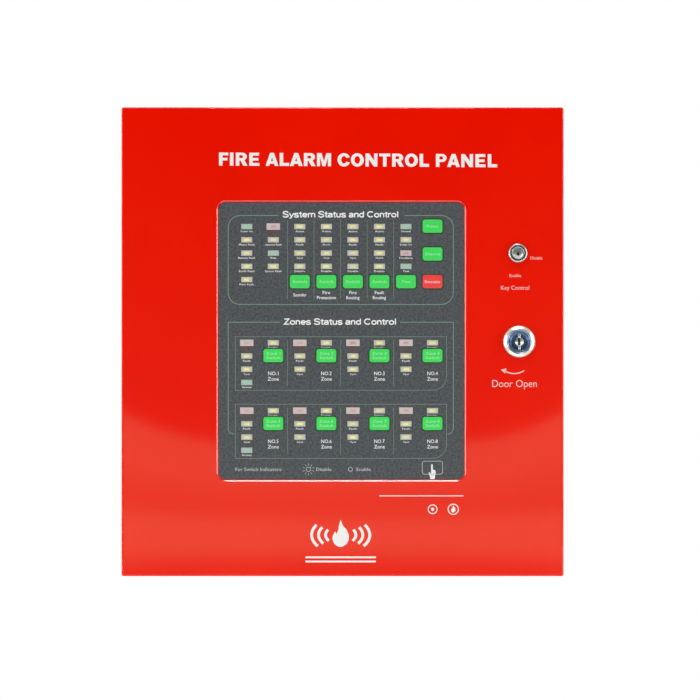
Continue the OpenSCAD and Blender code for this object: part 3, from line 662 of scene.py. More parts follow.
def make_camera():
    """A long lens straight in front of the door."""
    data = bpy.data.cameras.new("camera")
    data.sensor_width = 36
    data.lens = data.sensor_width * CAMERA_DISTANCE / PICTURE_WIDTH
    obj = linked("camera", data)
    obj.location = AIM - Vector((0, CAMERA_DISTANCE, 0))
    obj.rotation_euler = (math.pi / 2, 0, 0)
    scene.camera = obj


def area_light(name, place, size, power):
    """A rectangular soft box that points at the middle of the panel."""
    data = bpy.data.lights.new(name, "AREA")
    data.shape = "RECTANGLE"
    data.size, data.size_y = size
    data.energy = power
    obj = linked(name, data)
    obj.location = place
    obj.rotation_euler = (Vector((0, -0.05, 0)) - obj.location).to_track_quat("-Z", "Y").to_euler()
    obj.visible_camera = False


def make_lights():
    """Soft boxes in front, and strips at the sides that catch the bevels, the recess and the chrome."""
    area_light("key_left", (-1.5, -1.7, -0.75), (0.9, 0.9), 10.5)
    area_light("key_right", (1.5, -1.7, -0.72), (0.9, 0.9), 9.2)
    area_light("low_front", (0, -1.2, -0.6), (1.4, 0.4), 0.25)
    area_light("strip_left", (-1.1, -0.46, 0), (0.14, 1.2), 3.8)
    area_light("strip_right", (1.1, -0.46, 0), (0.14, 1.2), 3.8)
    area_light("strip_top", (0, -0.46, 1.1), (0.30, 0.14), 2.6)
    area_light("strip_top_wide", (0, -0.5, 1.25), (1.1, 0.14), 1.6)
    area_light("strip_low", (0, -0.38, -0.66), (0.9, 0.12), 0.55)
    area_light("behind", (0.6, 2.2, 1.4), (1.6, 1.6), 20)


def make_world():
    """White behind the object; a soft tent of light round its sides, and darkness round the camera."""
    world = bpy.data.worlds.new("studio")
    scene.world = world
    world.use_nodes = True
    tree = world.node_tree
    split = tree.nodes.new("ShaderNodeSeparateXYZ")
    tree.links.new(tree.nodes.new("ShaderNodeTexCoord").outputs["Generated"], split.inputs[0])
    tent = tree.nodes.new("ShaderNodeValToRGB")
    stops = ((0.0, 0.0), (0.12, 0.0), (0.22, 0.72), (0.52, 0.8), (0.62, 0.6), (1.0, 0.5))
    while len(tent.color_ramp.elements) < len(stops):
        tent.color_ramp.elements.new(0.5)
    for element, (place, level) in zip(tent.color_ramp.elements, stops):
        element.position = place
        element.color = (level, level, level, 1)
    depth = tree.nodes.new("ShaderNodeMapRange")
    depth.inputs["From Min"].default_value = -1
    tree.links.new(split.outputs["Y"], depth.inputs["Value"])
    tree.links.new(depth.outputs[0], tent.inputs["Fac"])
    mix = tree.nodes.new("ShaderNodeMix")
    mix.data_type = "RGBA"
    mix.inputs[7].default_value = (1, 1, 1, 1)
    tree.links.new(tree.nodes.new("ShaderNodeLightPath").outputs["Is Camera Ray"], mix.inputs[0])
    tree.links.new(tent.outputs["Color"], mix.inputs[6])
    tree.links.new(mix.outputs[2], tree.nodes["Background"].inputs["Color"])
    scene.view_settings.view_transform = "Standard"


def staged(name, points, faces, material):
    """A stage object that isn't part of the panel."""
    mesh = bpy.data.meshes.new(name)
    mesh.from_pydata(points, [], faces)
    mesh.materials.append(material)
    obj = linked(name, mesh)
    return obj


def make_floor():
    """A pale floor under the panel, below the picture."""
    f = Finish("floor", Roughness=0.8)
    f.set(Base_Color=f.mix(f.noise(0.3), (0.88, 0.88, 0.87), (0.93, 0.93, 0.92)))
    corners = [(-2.4, -3, FLOOR), (2.4, -3, FLOOR), (2.4, 2.2, FLOOR), (-2.4, 2.2, FLOOR)]
    staged("floor", corners, [(0, 1, 2, 3)], f.material)


REFLECTED_BANDS = (  # distance below the bright edge, brightness, and how much it bends with that edge
    (-0.28, 0.0, 1), (-0.10, 0.10, 1), (-0.003, 0.18, 1), (0.003, 0.95, 1), (0.030, 0.95, 0.55),
    (0.048, 0.62, 0.2), (0.058, 0.66, 0.2), (0.068, 1.15, 0.2), (0.088, 1.15, -0.1), (0.104, 0.4, -0.15),
    (0.2, 0.4, 0))


def make_reflected_wall():
    """What the gloss of the door's lower half mirrors: a lit card between door and camera, in broad bands."""
    ahead = 1.2
    columns = 25
    scale = 1 + ahead / CAMERA_DISTANCE
    half = (DOOR[1].x - DOOR[0].x) / 2
    top = -89 * MM
    xs = [(i / (columns - 1) * 2 - 1) * 1.3 * half for i in range(columns)]
    lift = [27 * MM * min(1.3, abs(x / half)) ** 4 for x in xs]
    points, levels, faces = [], [], []
    for below, level, share in REFLECTED_BANDS:
        heights = [top + share * rise - below for rise in lift]
        points += [(AIM.x + (x - AIM.x) * scale, DOOR_FACE - ahead, AIM.z + (z - AIM.z) * scale)
                   for x, z in zip(xs, heights)]
        levels += [level] * columns
    for first in range(0, len(points) - columns, columns):
        faces += [(i, i + 1, i + columns + 1, i + columns) for i in range(first, first + columns - 1)]
    f = Finish("reflected_wall")
    strength = f.node("Attribute", attribute_name="light_level").outputs["Fac"]
    glow = f.node("Emission", [("Color", (0.78, 1.24, 0.82)), ("Strength", strength)])
    f.tree.links.new(glow.outputs[0], f.tree.nodes["Material Output"].inputs["Surface"])
    obj = staged("reflected_wall", points, faces, f.material)
    obj.data.attributes.new("light_level", "FLOAT", "POINT").data.foreach_set("value", levels)
    obj.visible_camera = obj.visible_diffuse = obj.visible_shadow = False


# ---------------------------------------------------------------- the door and its plate

WINDOWS = {node: solids(node) for node in ("amber_windows", "green_windows", "red_windows")}
ALL_WINDOWS = [b for boxes in WINDOWS.values() for b in boxes]
KEYS = {n[:-len("_button")]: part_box(n) for n in frame["nodes"] if n.endswith("_button")}
KEY_CENTRE = {key: centre(box).xz for key, box in KEYS.items()}
KEY_SIZE = (17.1 * MM, 11.5 * MM)
KEY_RADIUS = 2.15 * MM
KEY_GAP = 0.15 * MM
PLATE_RADIUS = 6 * MM


def key_outline(key, amount, radius):
    """The outline of a key's cap, grown by an amount."""
    width, height = KEY_SIZE
    return outline(width + 2 * amount, height + 2 * amount, radius, *KEY_CENTRE[key])


def openings(grow=0.0):
    """Outlines of all window and key openings."""
    gap = KEY_GAP + grow
    windows = [grown(b, grow, 0.3 * MM, 3) for b in ALL_WINDOWS]
    return windows + [key_outline(key, gap, KEY_RADIUS + gap) for key in KEYS]


def fold(box, bend, y, radius, start, end, steps, least=0.0):
    """Outlines of a box along a bend in its sheet, about a line inset by bend, at a depth y."""
    turn = arc(0, 0, radius, radius, start, end, steps)
    return [at(grown(box, r - bend, max(r, least)), y - depth) for r, depth in turn]


def make_door():
    """A folded pan of sheet steel with a pressed recess, openings and two lock holes."""
    edge, flange, lip = 1.8 * MM, 12 * MM, 0.3 * MM
    back = DOOR[1].y
    front_bend, back_bend = DOOR_FACE + edge, back - edge
    skin = fold(DOOR, edge, front_bend, edge, 90, 0, 7) + fold(DOOR, edge, back_bend, edge, 0, -90, 7)
    skin += [at(grown(DOOR, -inset, 0), y)
             for inset, y in ((flange - lip, back), (flange, back - lip), (flange, back - SHEET))]
    skin += fold(DOOR, edge, back_bend, edge - SHEET, -90, 0, 4)
    skin += fold(DOOR, edge, front_bend, edge - SHEET, 0, 90, 4)
    shape = Shape().loft(skin)

    def press(inset, y):
        return at(grown(PLATE, inset, PLATE_RADIUS + inset), y)

    depth, slope, bend, foot = 1.0 * MM, math.radians(37), 0.25 * MM, 0.35 * MM
    floor_y = DOOR_FACE + depth
    run = depth / math.tan(slope) + 2 * bend * math.tan(slope / 2)
    turns = [slope * i / 3 for i in range(4)]
    corner = [(bend * math.sin(t), bend * (1 - math.cos(t))) for t in turns]
    rise = [press(foot + out, floor_y - up) for out, up in corner]
    rise += [press(foot + run - out, DOOR_FACE + up) for out, up in corner[::-1]]
    inside = floor_y + SHEET
    under = [press(0.9 * MM, inside), press(1.4 * MM, inside - 0.3 * MM), press(2.5 * MM, DOOR_FACE + SHEET)]
    shape.loft(rise).loft(under)

    holes = [circle(9.55 * MM, *LOCK), circle(6.95 * MM, *SWITCH)]
    cuts = openings()
    for hole in holes:
        shape.loft([at(hole, DOOR_FACE), at(hole, DOOR_FACE + SHEET)])
    for cut in cuts:
        shape.loft([at(cut, floor_y), at(cut, inside)])
    for y, border, recess in ((DOOR_FACE, skin[0], rise[-1]), (DOOR_FACE + SHEET, skin[-1], under[-1])):
        shape.fill([border, recess] + [at(hole, y) for hole in holes])
    for y, recess in ((floor_y, rise[0]), (inside, under[0])):
        shape.fill([recess] + [at(cut, y) for cut in cuts])
    for nut in solids("keypad_nuts"):
        stud = (nut[1].y - inside) / MM
        shape.turned(centre(nut).xz, inside, [(1.5, 0), (1.5, stud + 0.6), (1.1, stud + 1)], 20)
    shape.piece("door_panel_skin", "door", "red_paint", replaces=["door_panel"], sharp=30)


def make_plate():
    """The overlay film with a soft edge and clear-cut openings."""
    edge, trim, back = 0.12 * MM, 0.06 * MM, PLATE[1].y
    rim = ((edge, PLATE_RADIUS - edge, PLATE_FACE), (0.3 * edge, PLATE_RADIUS, PLATE_FACE + 0.3 * edge),
           (0, PLATE_RADIUS, PLATE_FACE + edge), (0, PLATE_RADIUS, back))
    front = [at(grown(PLATE, -inset, radius, 12), y) for inset, radius, y in rim]
    shape = Shape().loft(front)
    cuts, wide = openings(), openings(trim)
    shape.fill([front[0]] + [at(c, PLATE_FACE) for c in wide])
    shape.fill([front[-1]] + [at(c, back) for c in cuts])
    for c, w in zip(cuts, wide):
        shape.loft([at(w, PLATE_FACE), at(c, PLATE_FACE + trim), at(c, back)])
    shape.piece("overlay_plate", "door", "plate_film", replaces=["front_plate"], sharp=30)


def make_windows(color):
    """Lenses with a rounded rim and a crowned face, whose points know how far they are from the lamp, for the
    painted glow of window_lens.
    """
    node = color + "_windows"
    corner, fit, rim = 0.3 * MM, 0.04 * MM, 0.3 * MM
    shape = Shape()
    for box in WINDOWS[node]:
        face = box[0].y
        loops = [at(grown(box, -inset * MM - fit, max(corner - inset * MM, 0.08 * MM), 3), y)
                 for inset, y in ((0, box[1].y), (0, face + 0.28 * MM), (0.08, face + 0.16 * MM),
                                  (0.3, face + 0.1 * MM))]
        x, _, z = centre(box)
        width, height = (box[1] - box[0]).xz - Vector((2 * rim, 2 * rim))
        for share, y in ((0.8, 0.07), (0.6, 0.05), (0.4, 0.04), (0.2, 0.03)):
            crown = outline(width * share, height * share, 0.08 * MM * share, x, z, 3)
            loops.append(at(crown, face + y * MM))
        shape.loft(loops).cap(loops[0], loops[-1])
    obj = shape.piece(color + "_lenses", "door", color + "_lens", replaces=[node])
    lamps = [centre(box).xz for box in WINDOWS[node]]
    lamp_radius, stretch, lift, most = 2.6 * MM, 0.8, 0.3 * MM, 1.2
    values = []
    for v in obj.data.vertices:
        dx, dz = min((v.co.xz - lamp for lamp in lamps), key=lambda offset: offset.length)
        values.append(min(most, math.hypot(dx * stretch, dz + lift) / lamp_radius))
    obj.data.attributes.new("from_centre", "FLOAT", "POINT").data.foreach_set("value", values)


def key_colour(key):
    """The slot of a key, by its colour."""
    return "red_key" if key == "evacuate" else "green_key"


def make_key(key):
    """A crowned cap with a retaining flange and a plunger."""
    face, back = KEYS[key][0].y, KEYS[key][1].y
    flange, flange_thickness, flange_width, plunger = -102.7 * MM, 0.8 * MM, 1.15 * MM, 1.75 * MM
    crown = ((2.6, 0), (1.4, 0.01), (0.75, 0.05), (0.42, 0.14), (0.18, 0.34), (0.05, 0.6), (0, 1.0))
    rings = [(inset * MM, face + y * MM) for inset, y in crown]
    rings += [(0, flange), (-flange_width, flange), (-flange_width, flange + flange_thickness)]
    loops = [at(key_outline(key, -inset, KEY_RADIUS - 0.6 * inset), y) for inset, y in rings]
    for radius, y in ((plunger, flange + flange_thickness), (plunger, back - 0.3 * MM), (1.5 * MM, back)):
        loops.append(at(circle(radius, *KEY_CENTRE[key]), y))
    shape = Shape().loft(loops).cap(loops[0], loops[-1])
    shape.piece(key + "_cap", key + "_key", key_colour(key), replaces=[key + "_button"], sharp=40)


# ---------------------------------------------------------------- locks
# Profiles are pairs of radius and depth behind the door's face, in millimetres.

def make_lock():
    """Chrome bezel with a dished face, a turning plug and a bright hub with a slot; the dish and the plug's
    face carry a painted dark reflection, and the hub and two pads beside it a painted highlight.
    """
    bezel = [(8.06, 19), (9.2, 19), (9.5, 18.6), (9.5, 0.02), (13.98, 0.02), (13.95, -0.12), (13.75, -0.5),
             (13.45, -0.95), (13.05, -1.38), (12.5, -1.8), (11.0, -2.88), (10.85, -2.98), (10.65, -3.0),
             (10.45, -2.9), (10.35, -2.6), (10.3, 0.2), (8.06, 0.2)]
    dish = [(8.08, 0.15), (10.25, 0.15), (10.25, -1.9), (10.1, -2.05), (9.9, -1.9), (9.6, -1.5), (9.2, -1.25),
            (8.7, -1.2), (8.4, -1.3), (8.2, -1.2), (8.08, -0.9)]
    plug = [(5.2, -0.78), (6.7, -0.8), (7.2, -0.9), (7.45, -1.12), (7.75, -1.2), (7.95, -1.1), (8.0, -0.9),
            (8.0, 19.2), (5.5, 19.2), (5.5, 22.2)]
    hub = [(1.1, -1.75), (1.5, -1.7), (3.3, -0.98), (3.7, -0.85), (3.8, -0.6), (3.8, 0.5)]
    Shape().turned(LOCK, DOOR_FACE, bezel, 96, close=True).piece(
        "lock_bezel", "door", "bezel_chrome", replaces=["lock_housing"], sharp=50)
    # the dish is part of the chrome bezel; its dark blue colour is a painted reflection
    Shape().turned(LOCK, DOOR_FACE, dish, 96, close=True).piece(
        "lock_dish", "door", "bezel_chrome", "blue_steel", sharp=50)

    x, z = LOCK
    core = Shape().turned(LOCK, DOOR_FACE, plug)
    square = 3.5 * MM
    core.block((x - square, DOOR_FACE + plug[-1][1] * MM, z - square),
               (x + square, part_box("lock_plug")[1].y, z + square), 0.3 * MM)
    # the plug's face is coloured dark blue as a painted reflection of the dark it faces
    core.piece("lock_core", "lock_plug", "plug_steel", "dark_steel", ["lock_plug"], 40)
    slot_x, corner, deep = x - 0.2 * MM, 0.7 * MM, DOOR_FACE + 0.3 * MM
    # the hub is coloured light as a painted highlight
    disc = Shape().turned(LOCK, DOOR_FACE, hub, 48).piece(
        "lock_hub", "lock_plug", "plug_steel", "bright_steel", sharp=40)
    carve(disc, Shape().prism(outline(1.9 * MM, 7.2 * MM, corner, slot_x, z), DOOR_FACE - 3 * MM, deep))
    keyway = Shape().prism(outline(2.2 * MM, 7.4 * MM, corner, slot_x, z), DOOR_FACE - 0.82 * MM, deep)
    keyway.piece("lock_keyway", "lock_plug", "plug_steel", "keyway_shadow")
    # two pads above and below the hub, coloured light as painted highlight streaks
    highlight_pads = Shape()
    for side in (-1, 1):
        rings = []
        for inset, depth in ((0, -0.75), (0, -0.95), (0.5, -1.3)):
            width, height, radius = (1.9 - 2 * inset) * MM, (3.6 - 2 * inset) * MM, (0.9 - inset) * MM
            rings.append(at(outline(width, height, radius, x, z + side * 4.9 * MM), DOOR_FACE + depth * MM))
        highlight_pads.loft(rings).cap(rings[0], rings[-1])
    highlight_pads.piece("lock_key_guides", "lock_plug", "plug_steel", "bright_steel", sharp=40)


def make_key_switch():
    """Small chrome bezel round a dished rotor with a keyhole, and painted shade in the groove round the
    rotor.
    """
    bezel = [(5.26, 20), (6.6, 20), (6.9, 19.6), (6.9, 0.02), (8.48, 0.02), (8.45, -0.3), (8.3, -0.9),
             (8.05, -1.5), (7.75, -1.95), (7.4, -2.25), (7.1, -2.42), (6.7, -2.4), (6.45, -2.1), (6.3, -1.6),
             (6.26, -1.0), (6.26, 0.3), (5.26, 0.3)]
    rotor = [(1.0, -1.84), (2.0, -1.78), (3.2, -1.6), (4.1, -1.32), (4.7, -1.05), (4.9, -1.05), (5.2, -1.5),
             (5.4, -1.7), (5.9, -1.7), (6.12, -1.55), (6.2, -1.2), (6.2, 0.25), (5.2, 0.35), (5.2, 21.5),
             (4.9, 21.8)]
    groove = [(5.35, -1.62), (5.45, -1.78), (6.05, -1.78), (6.15, -1.62)]
    Shape().turned(SWITCH, DOOR_FACE, bezel, 80, close=True).piece(
        "key_switch_bezel", "door", "bezel_chrome", replaces=["key_switch_housing"], sharp=40)
    core = Shape().turned(SWITCH, DOOR_FACE, rotor).piece(
        "key_switch_core", "key_rotor", "rotor_steel", replaces=["key_switch_rotor"], sharp=40)
    x, z = SWITCH.x, SWITCH.y - 0.7 * MM
    corner, deep = 0.8 * MM, DOOR_FACE + 2 * MM
    carve(core, Shape().prism(outline(1.9 * MM, 3.0 * MM, corner, x, z), DOOR_FACE - 3 * MM, deep))
    keyway = Shape().prism(outline(2.2 * MM, 3.3 * MM, corner, x, z), DOOR_FACE - 0.9 * MM, deep)
    keyway.piece("key_switch_keyway", "key_rotor", "rotor_steel", "keyway_shadow")
    # painted shade: a dark ring in the groove round the rotor
    Shape().turned(SWITCH, DOOR_FACE, groove, close=True).piece(
        "key_switch_ring", "key_rotor", "rotor_steel", "dark_steel")


# ---------------------------------------------------------------- prints, and the painted shade round the keys

COLUMNS = sorted({round(centre(b).x, 4) for b in ALL_WINDOWS} | {round(KEY_CENTRE["reset"].x, 4)})
PITCH = (COLUMNS[-1] - COLUMNS[0]) / (len(COLUMNS) - 1)
SYSTEM_LABELS = (("Power On", "Mains Fault", "Battery Fault", "Earth Fault", "Fuse Fault"),
                 ("Fire", "General Fault", "Mute", "System Fault"),
                 ("Active", "Fault", "Open", "Disable"), ("Active", "Short", "Open", "Disable"),
                 ("Active", "Fault", "Open", "Disable"), ("Active", "Fault", "Short", "Disable"),
                 ("Normal", "Delay On", "Pre-Alarm", "Test"), ("Disable",))
ZONE_LABELS = ("Fire", "Fault", "Open", "Normal")
ZONE_HEADING = 16.8 * MM  # height of the line that the zones' heading interrupts
KEY_LABELS = {"sounder": ["Sounder"], "fire_protection": ["Fire", "Protection"],
              "fire_routing": ["Fire", "Routing"], "fault_routing": ["Fault", "Routing"]}


def label_windows(white, red):
    """A small legend under every window."""
    zone_top = KEY_CENTRE["zone_1"].y + 15 * MM
    for column, system_names in zip(COLUMNS, SYSTEM_LABELS):
        mine = sorted((b for b in ALL_WINDOWS if abs(centre(b).x - column) < 1 * MM), key=lambda b: -b[0].z)
        system = [b for b in mine if b[0].z > zone_top]
        zones = [b for b in mine if b[0].z <= zone_top]
        half = len(zones) // 2
        groups = ((system, system_names), (zones[:half], ZONE_LABELS), (zones[half:], ZONE_LABELS))
        for group, names in groups:
            for (low, _), text in zip(group, names if len(group) > 1 else ["Disable"]):
                if text == "Fire":
                    words(red, text, column, low.z - 2.0 * MM, PLATE_FACE, 1.7, 6.4)
                else:
                    width = min(14.5, 1.16 * len(text) + 0.8)
                    words(white, text, column, low.z - 1.75 * MM, PLATE_FACE, 1.5, width, resolution=1)


def print_outlines():
    """The lines round and inside the two fields of the plate."""
    shape = Shape()
    stroke, thin = 0.62, 0.3
    left, right = COLUMNS[0] - 16.0 * MM, COLUMNS[-1] + 17.9 * MM
    dividers = [x + PITCH / 2 + 0.8 * MM for x in COLUMNS[:6]]

    top, bottom, corner = 108.5 * MM, 32 * MM, 10.5 * MM
    gap = (-55.1 * MM, 53.1 * MM)
    field = outline(right - left, top - bottom, corner, (left + right) / 2, (top + bottom) / 2, 10)
    n = len(field) // 4
    line(shape, [(gap[1], top)] + field[:n][::-1] + field[:n - 1:-1] + [(gap[0], top)], stroke, PLATE_FACE)
    for x in dividers[1:]:
        line(shape, [(x, top - 4.3 * MM), (x, bottom + 4.8 * MM)], thin, PLATE_FACE)

    box_left, box_right, corner = COLUMNS[0] - 9.8 * MM, 89.4 * MM, 12 * MM
    for box_top, foot in ((4.3 * MM, -41.7 * MM), (-53.7 * MM, -100.2 * MM)):
        bend = arc(box_right - corner, foot + corner, corner, corner, 0, -90, 10)
        corners = [(box_left, foot), (box_left, box_top), (box_right, box_top)]
        line(shape, corners + bend, 1.3 * thin, PLATE_FACE, close=True)
        for x in dividers[1::2]:
            line(shape, [(x, box_top - 3 * MM), (x, foot + 3.5 * MM)], thin, PLATE_FACE)

    turn, hook = -74.3 * MM, 5 * MM
    for gap_end, edge, side in ((-53.5 * MM, left, -1), (49.5 * MM, right, 1)):
        swing = arc(edge - side * hook, turn, side * hook, hook, 0, -90, 7)
        line(shape, [(gap_end, ZONE_HEADING), (edge, ZONE_HEADING)] + swing, stroke, PLATE_FACE)
    shape.piece("plate_outlines", "door", "plate_film", "green_ink")


def print_legends(white, red):
    """Headings, legends and the pointing hand of the plate."""
    heading(white, "System Status and Control", -1.6 * MM, 109.5 * MM, PLATE_FACE, 5.1, 100)
    heading(white, "Zones Status and Control", -2.0 * MM, ZONE_HEADING + 0.5 * MM, PLATE_FACE, 5.1, 97)
    label_windows(white, red)
    for key, lines in KEY_LABELS.items():
        x, z = KEY_CENTRE[key]
        for j, text in enumerate(lines):
            below = 11.3 if len(lines) == 1 else 9.3 + 4.4 * j
            words(white, text, x, z - below * MM, PLATE_FACE, 2.7, 1.62 * len(text))
    for i in range(1, 9):
        x, z = KEY_CENTRE["zone_%d" % i]
        words(white, "NO.%d" % i, x, z - 15.3 * MM, PLATE_FACE, 3.0, 9.0, bold=0.006)
        words(white, "Zone", x, z - 20.0 * MM, PLATE_FACE, 3.0, 9.4, bold=0.006)
    hand = [(-0.9, 3.1), (-0.5, 3.6), (0.3, 3.6), (0.7, 3.1), (0.8, -1.0), (1.9, -1.2), (3.4, -1.9),
            (3.7, -2.7), (3.5, -5.2), (2.9, -7.2), (2.7, -9.3), (-1.9, -9.3), (-2.1, -7.2), (-3.2, -5.0),
            (-3.3, -3.4), (-2.6, -3.2), (-1.7, -4.3), (-1.0, -4.0)]
    narrow = 0.85
    patch(white, scaled([(narrow * px, pz) for px, pz in hand], 76.9 * MM, -108.8 * MM), PLATE_FACE)


def print_notes():
    """The line at the plate's foot that explains the lamps of the keys, and the frame of the hand."""
    shape = Shape()
    foot = -109.6 * MM
    for text, x, width in (("For Switch Indicators:", -72, 40), ("Disable", -16.1, 13), ("Enable", 18.1, 12)):
        words(shape, text, x * MM, foot, PLATE_FACE, 2.8, width, bold=0.0)
    sun = -29.2 * MM
    line(shape, circle(1.9 * MM, sun, foot), 0.4, PLATE_FACE, close=True)
    for i in range(10):
        a = math.radians(36 * i + 18)
        ray = [(r * math.cos(a), r * math.sin(a)) for r in (3.1, 5.2)]
        line(shape, scaled(ray, sun, foot), 0.3, PLATE_FACE)
    line(shape, circle(1.8 * MM, 6.8 * MM, foot), 0.4, PLATE_FACE, close=True)
    line(shape, outline(17.5 * MM, 11.2 * MM, 2 * MM, 77.2 * MM, -108.2 * MM), 0.42, PLATE_FACE, close=True)
    shape.piece("plate_notes", "door", "plate_film", "grey_ink")


def print_key_surrounds():
    """Painted shade round every key: a dark border where the gap round the key is in shade."""
    shape = Shape()
    for key in KEYS:
        line(shape, key_outline(key, 0.65 * MM, KEY_RADIUS + 0.6 * MM), 0.7, PLATE_FACE, close=True)
    shape.piece("plate_key_surrounds", "door", "plate_film", "dark_green_ink")


def print_plate():
    """Everything printed on the plate, one piece for each ink, and the painted shade round the keys."""
    white, red = Shape(), Shape()
    print_key_surrounds()
    print_outlines()
    print_legends(white, red)
    white.piece("plate_legends", "door", "plate_film", "white_ink")
    print_notes()
    red.piece("plate_fire_legends", "door", "plate_film", "red_ink")


def print_key(key):
    """A legend on the crowned face of a key."""
    x, z = KEY_CENTRE[key]
    if key.startswith("zone"):
        lines = ["Zone " + key[-1], "Switch"]
    else:
        lines = [key.capitalize() if key in ("reset", "silence", "evacuate", "test") else "Switch"]
    shape = Shape()
    for j, text in enumerate(lines):
        rise = (len(lines) - 1) * 1.9 - j * 3.8
        words(shape, text, x, z + rise * MM, KEYS[key][0].y, 2.3, min(13.2, 2.0 * len(text)))
    ink = "key_ink_red" if key == "evacuate" else "key_ink_green"
    shape.piece(key + "_legend", key + "_key", key_colour(key), ink)


def print_lock_legends():
    """The words by the key switch and the lock, and the arrow that shows which way the lock turns."""
    shape = Shape()
    for (x, z), text, dx, dz, cap, width, bold, resolution in (
            (SWITCH, "Disable", 15.8, -4.3, 2.5, 10.2, 0.0, 2),
            (SWITCH, "Enable", -2.3, -19.4, 2.5, 10.0, 0.0, 2),
            (SWITCH, "Key Control", -2.5, -29.8, 3.5, 24.2, -0.004, 3),
            (LOCK, "Door Open", -4.1, -36.1, 6.0, 38.4, -0.004, 4)):
        words(shape, text, x + dx * MM, z + dz * MM, DOOR_FACE, cap, width, bold, resolution)
    tail, head, sag = Vector((4.1, -25.1)), Vector((-12.2, -25.4)), 2.3
    sweep = [tail.lerp(head, t) - Vector((0, sag * 4 * t * (1 - t))) for t in (i / 12 for i in range(13))]
    line(shape, scaled(sweep, *LOCK), 0.92, DOOR_FACE)
    patch(shape, scaled([(-15.7, -24.1), (-11.0, -23.2), (-12.2, -27.6)], *LOCK), DOOR_FACE)
    shape.piece("lock_legends", "door", "red_paint", "pale_ink")


def flame(x, z, size):
    """The outline of a plain flame."""
    edge = [(0, 1.0), (0.1, 0.72), (0.3, 0.5), (0.42, 0.22), (0.4, -0.02), (0.3, -0.22), (0.12, -0.34),
            (0, -0.37), (-0.14, -0.34), (-0.32, -0.22), (-0.42, 0.0), (-0.4, 0.2), (-0.28, 0.42),
            (-0.22, 0.28), (-0.12, 0.5), (-0.08, 0.75)]
    return scaled(edge, x, z, size)


def print_door():
    """The title, and plain pictograms at the door's foot."""
    shape = Shape()
    title(shape, "FIRE ALARM CONTROL PANEL", 13.1 * MM, 156.2 * MM, DOOR_FACE, 11.2, 240.5, -0.36)
    x, z = -1.6 * MM, -167 * MM
    patch(shape, flame(x, z - 3 * MM, 17 * MM), DOOR_FACE)
    for side in (-1, 1):
        for r in (13 * MM, 19 * MM, 25 * MM):
            line(shape, arc(x, z + 1 * MM, side * r, 0.62 * r, -38, 34, 13), 2.4, DOOR_FACE)
    for left, right, height, stroke in ((-31.8, 28.6, -185.2, 1.5), (-31.8, 28.6, -188.8, 1.5),
                                        (31.6, 103.9, -132.4, 0.7)):
        line(shape, scaled([(left, height), (right, height)]), stroke, DOOR_FACE)
    mark_z = -143.9 * MM
    for mark_x, radius in ((77.4 * MM, 3.8 * MM), (95.1 * MM, 4.4 * MM)):
        line(shape, circle(radius, mark_x, mark_z), 0.8, DOOR_FACE, close=True)
    patch(shape, circle(1.4 * MM, 77.4 * MM, mark_z, 16), DOOR_FACE)
    patch(shape, flame(95.1 * MM, mark_z - 1 * MM, 4.6 * MM), DOOR_FACE)
    shape.piece("door_legends", "door", "red_paint", "white_ink")


# ---------------------------------------------------------------- the box and what it holds

def make_back_box():
    """A folded box with rounded bends, a lip round the front, wall holes and cable entries."""
    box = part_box("back_box")
    front, back = box[0].y, box[1].y
    bend, lip, trim, least = 1.6 * MM, 14 * MM, 0.2 * MM, 0.15 * MM
    inner = bend - SHEET
    skin = fold(box, bend, back - bend, bend, -90, 0, 6, least)
    skin += fold(box, bend, front + bend, bend, 0, 90, 6, least)
    skin += [at(grown(box, -inset, least), y)
             for inset, y in ((lip - trim, front), (lip, front + trim), (lip, front + SHEET))]
    skin += fold(box, bend, front + bend, inner, 90, 0, 4, least)
    skin += fold(box, bend, back - bend, inner, 0, -90, 4, least)
    shape = Shape().loft(skin)
    holes = [circle(3.25 * MM, sx * 155 * MM, (44 + sz * 126) * MM) for sx in (-1, 1) for sz in (-1, 1)]
    shape.fill([skin[0]] + [at(hole, back) for hole in holes])
    shape.fill([skin[-1]] + [at(hole, back - SHEET) for hole in holes])
    for hole in holes:
        shape.loft([at(hole, back), at(hole, back - SHEET)])
    obj = shape.piece("back_box_shell", "box", "red_paint", replaces=["back_box"], sharp=30)

    cutters = Shape()
    for grommet in solids("cable_grommets"):
        ring = circle(11 * MM, *centre(grommet).xy, 48)
        ends = [[(x, y, z) for x, y in ring] for z in (grommet[0].z - 5 * MM, grommet[1].z + 5 * MM)]
        cutters.loft(ends).cap(*ends)
    side_wall = (0.178, 0.19)
    for screw in solids("fixing_screws"):
        middle = centre(screw)
        if abs(middle.x) > 0.17:
            ring = circle(2.0 * MM, middle.y, middle.z, 32)
            ends = [[(math.copysign(reach, middle.x), y, z) for y, z in ring] for reach in side_wall]
            cutters.loft(ends).cap(*ends)
    carve(obj, cutters)


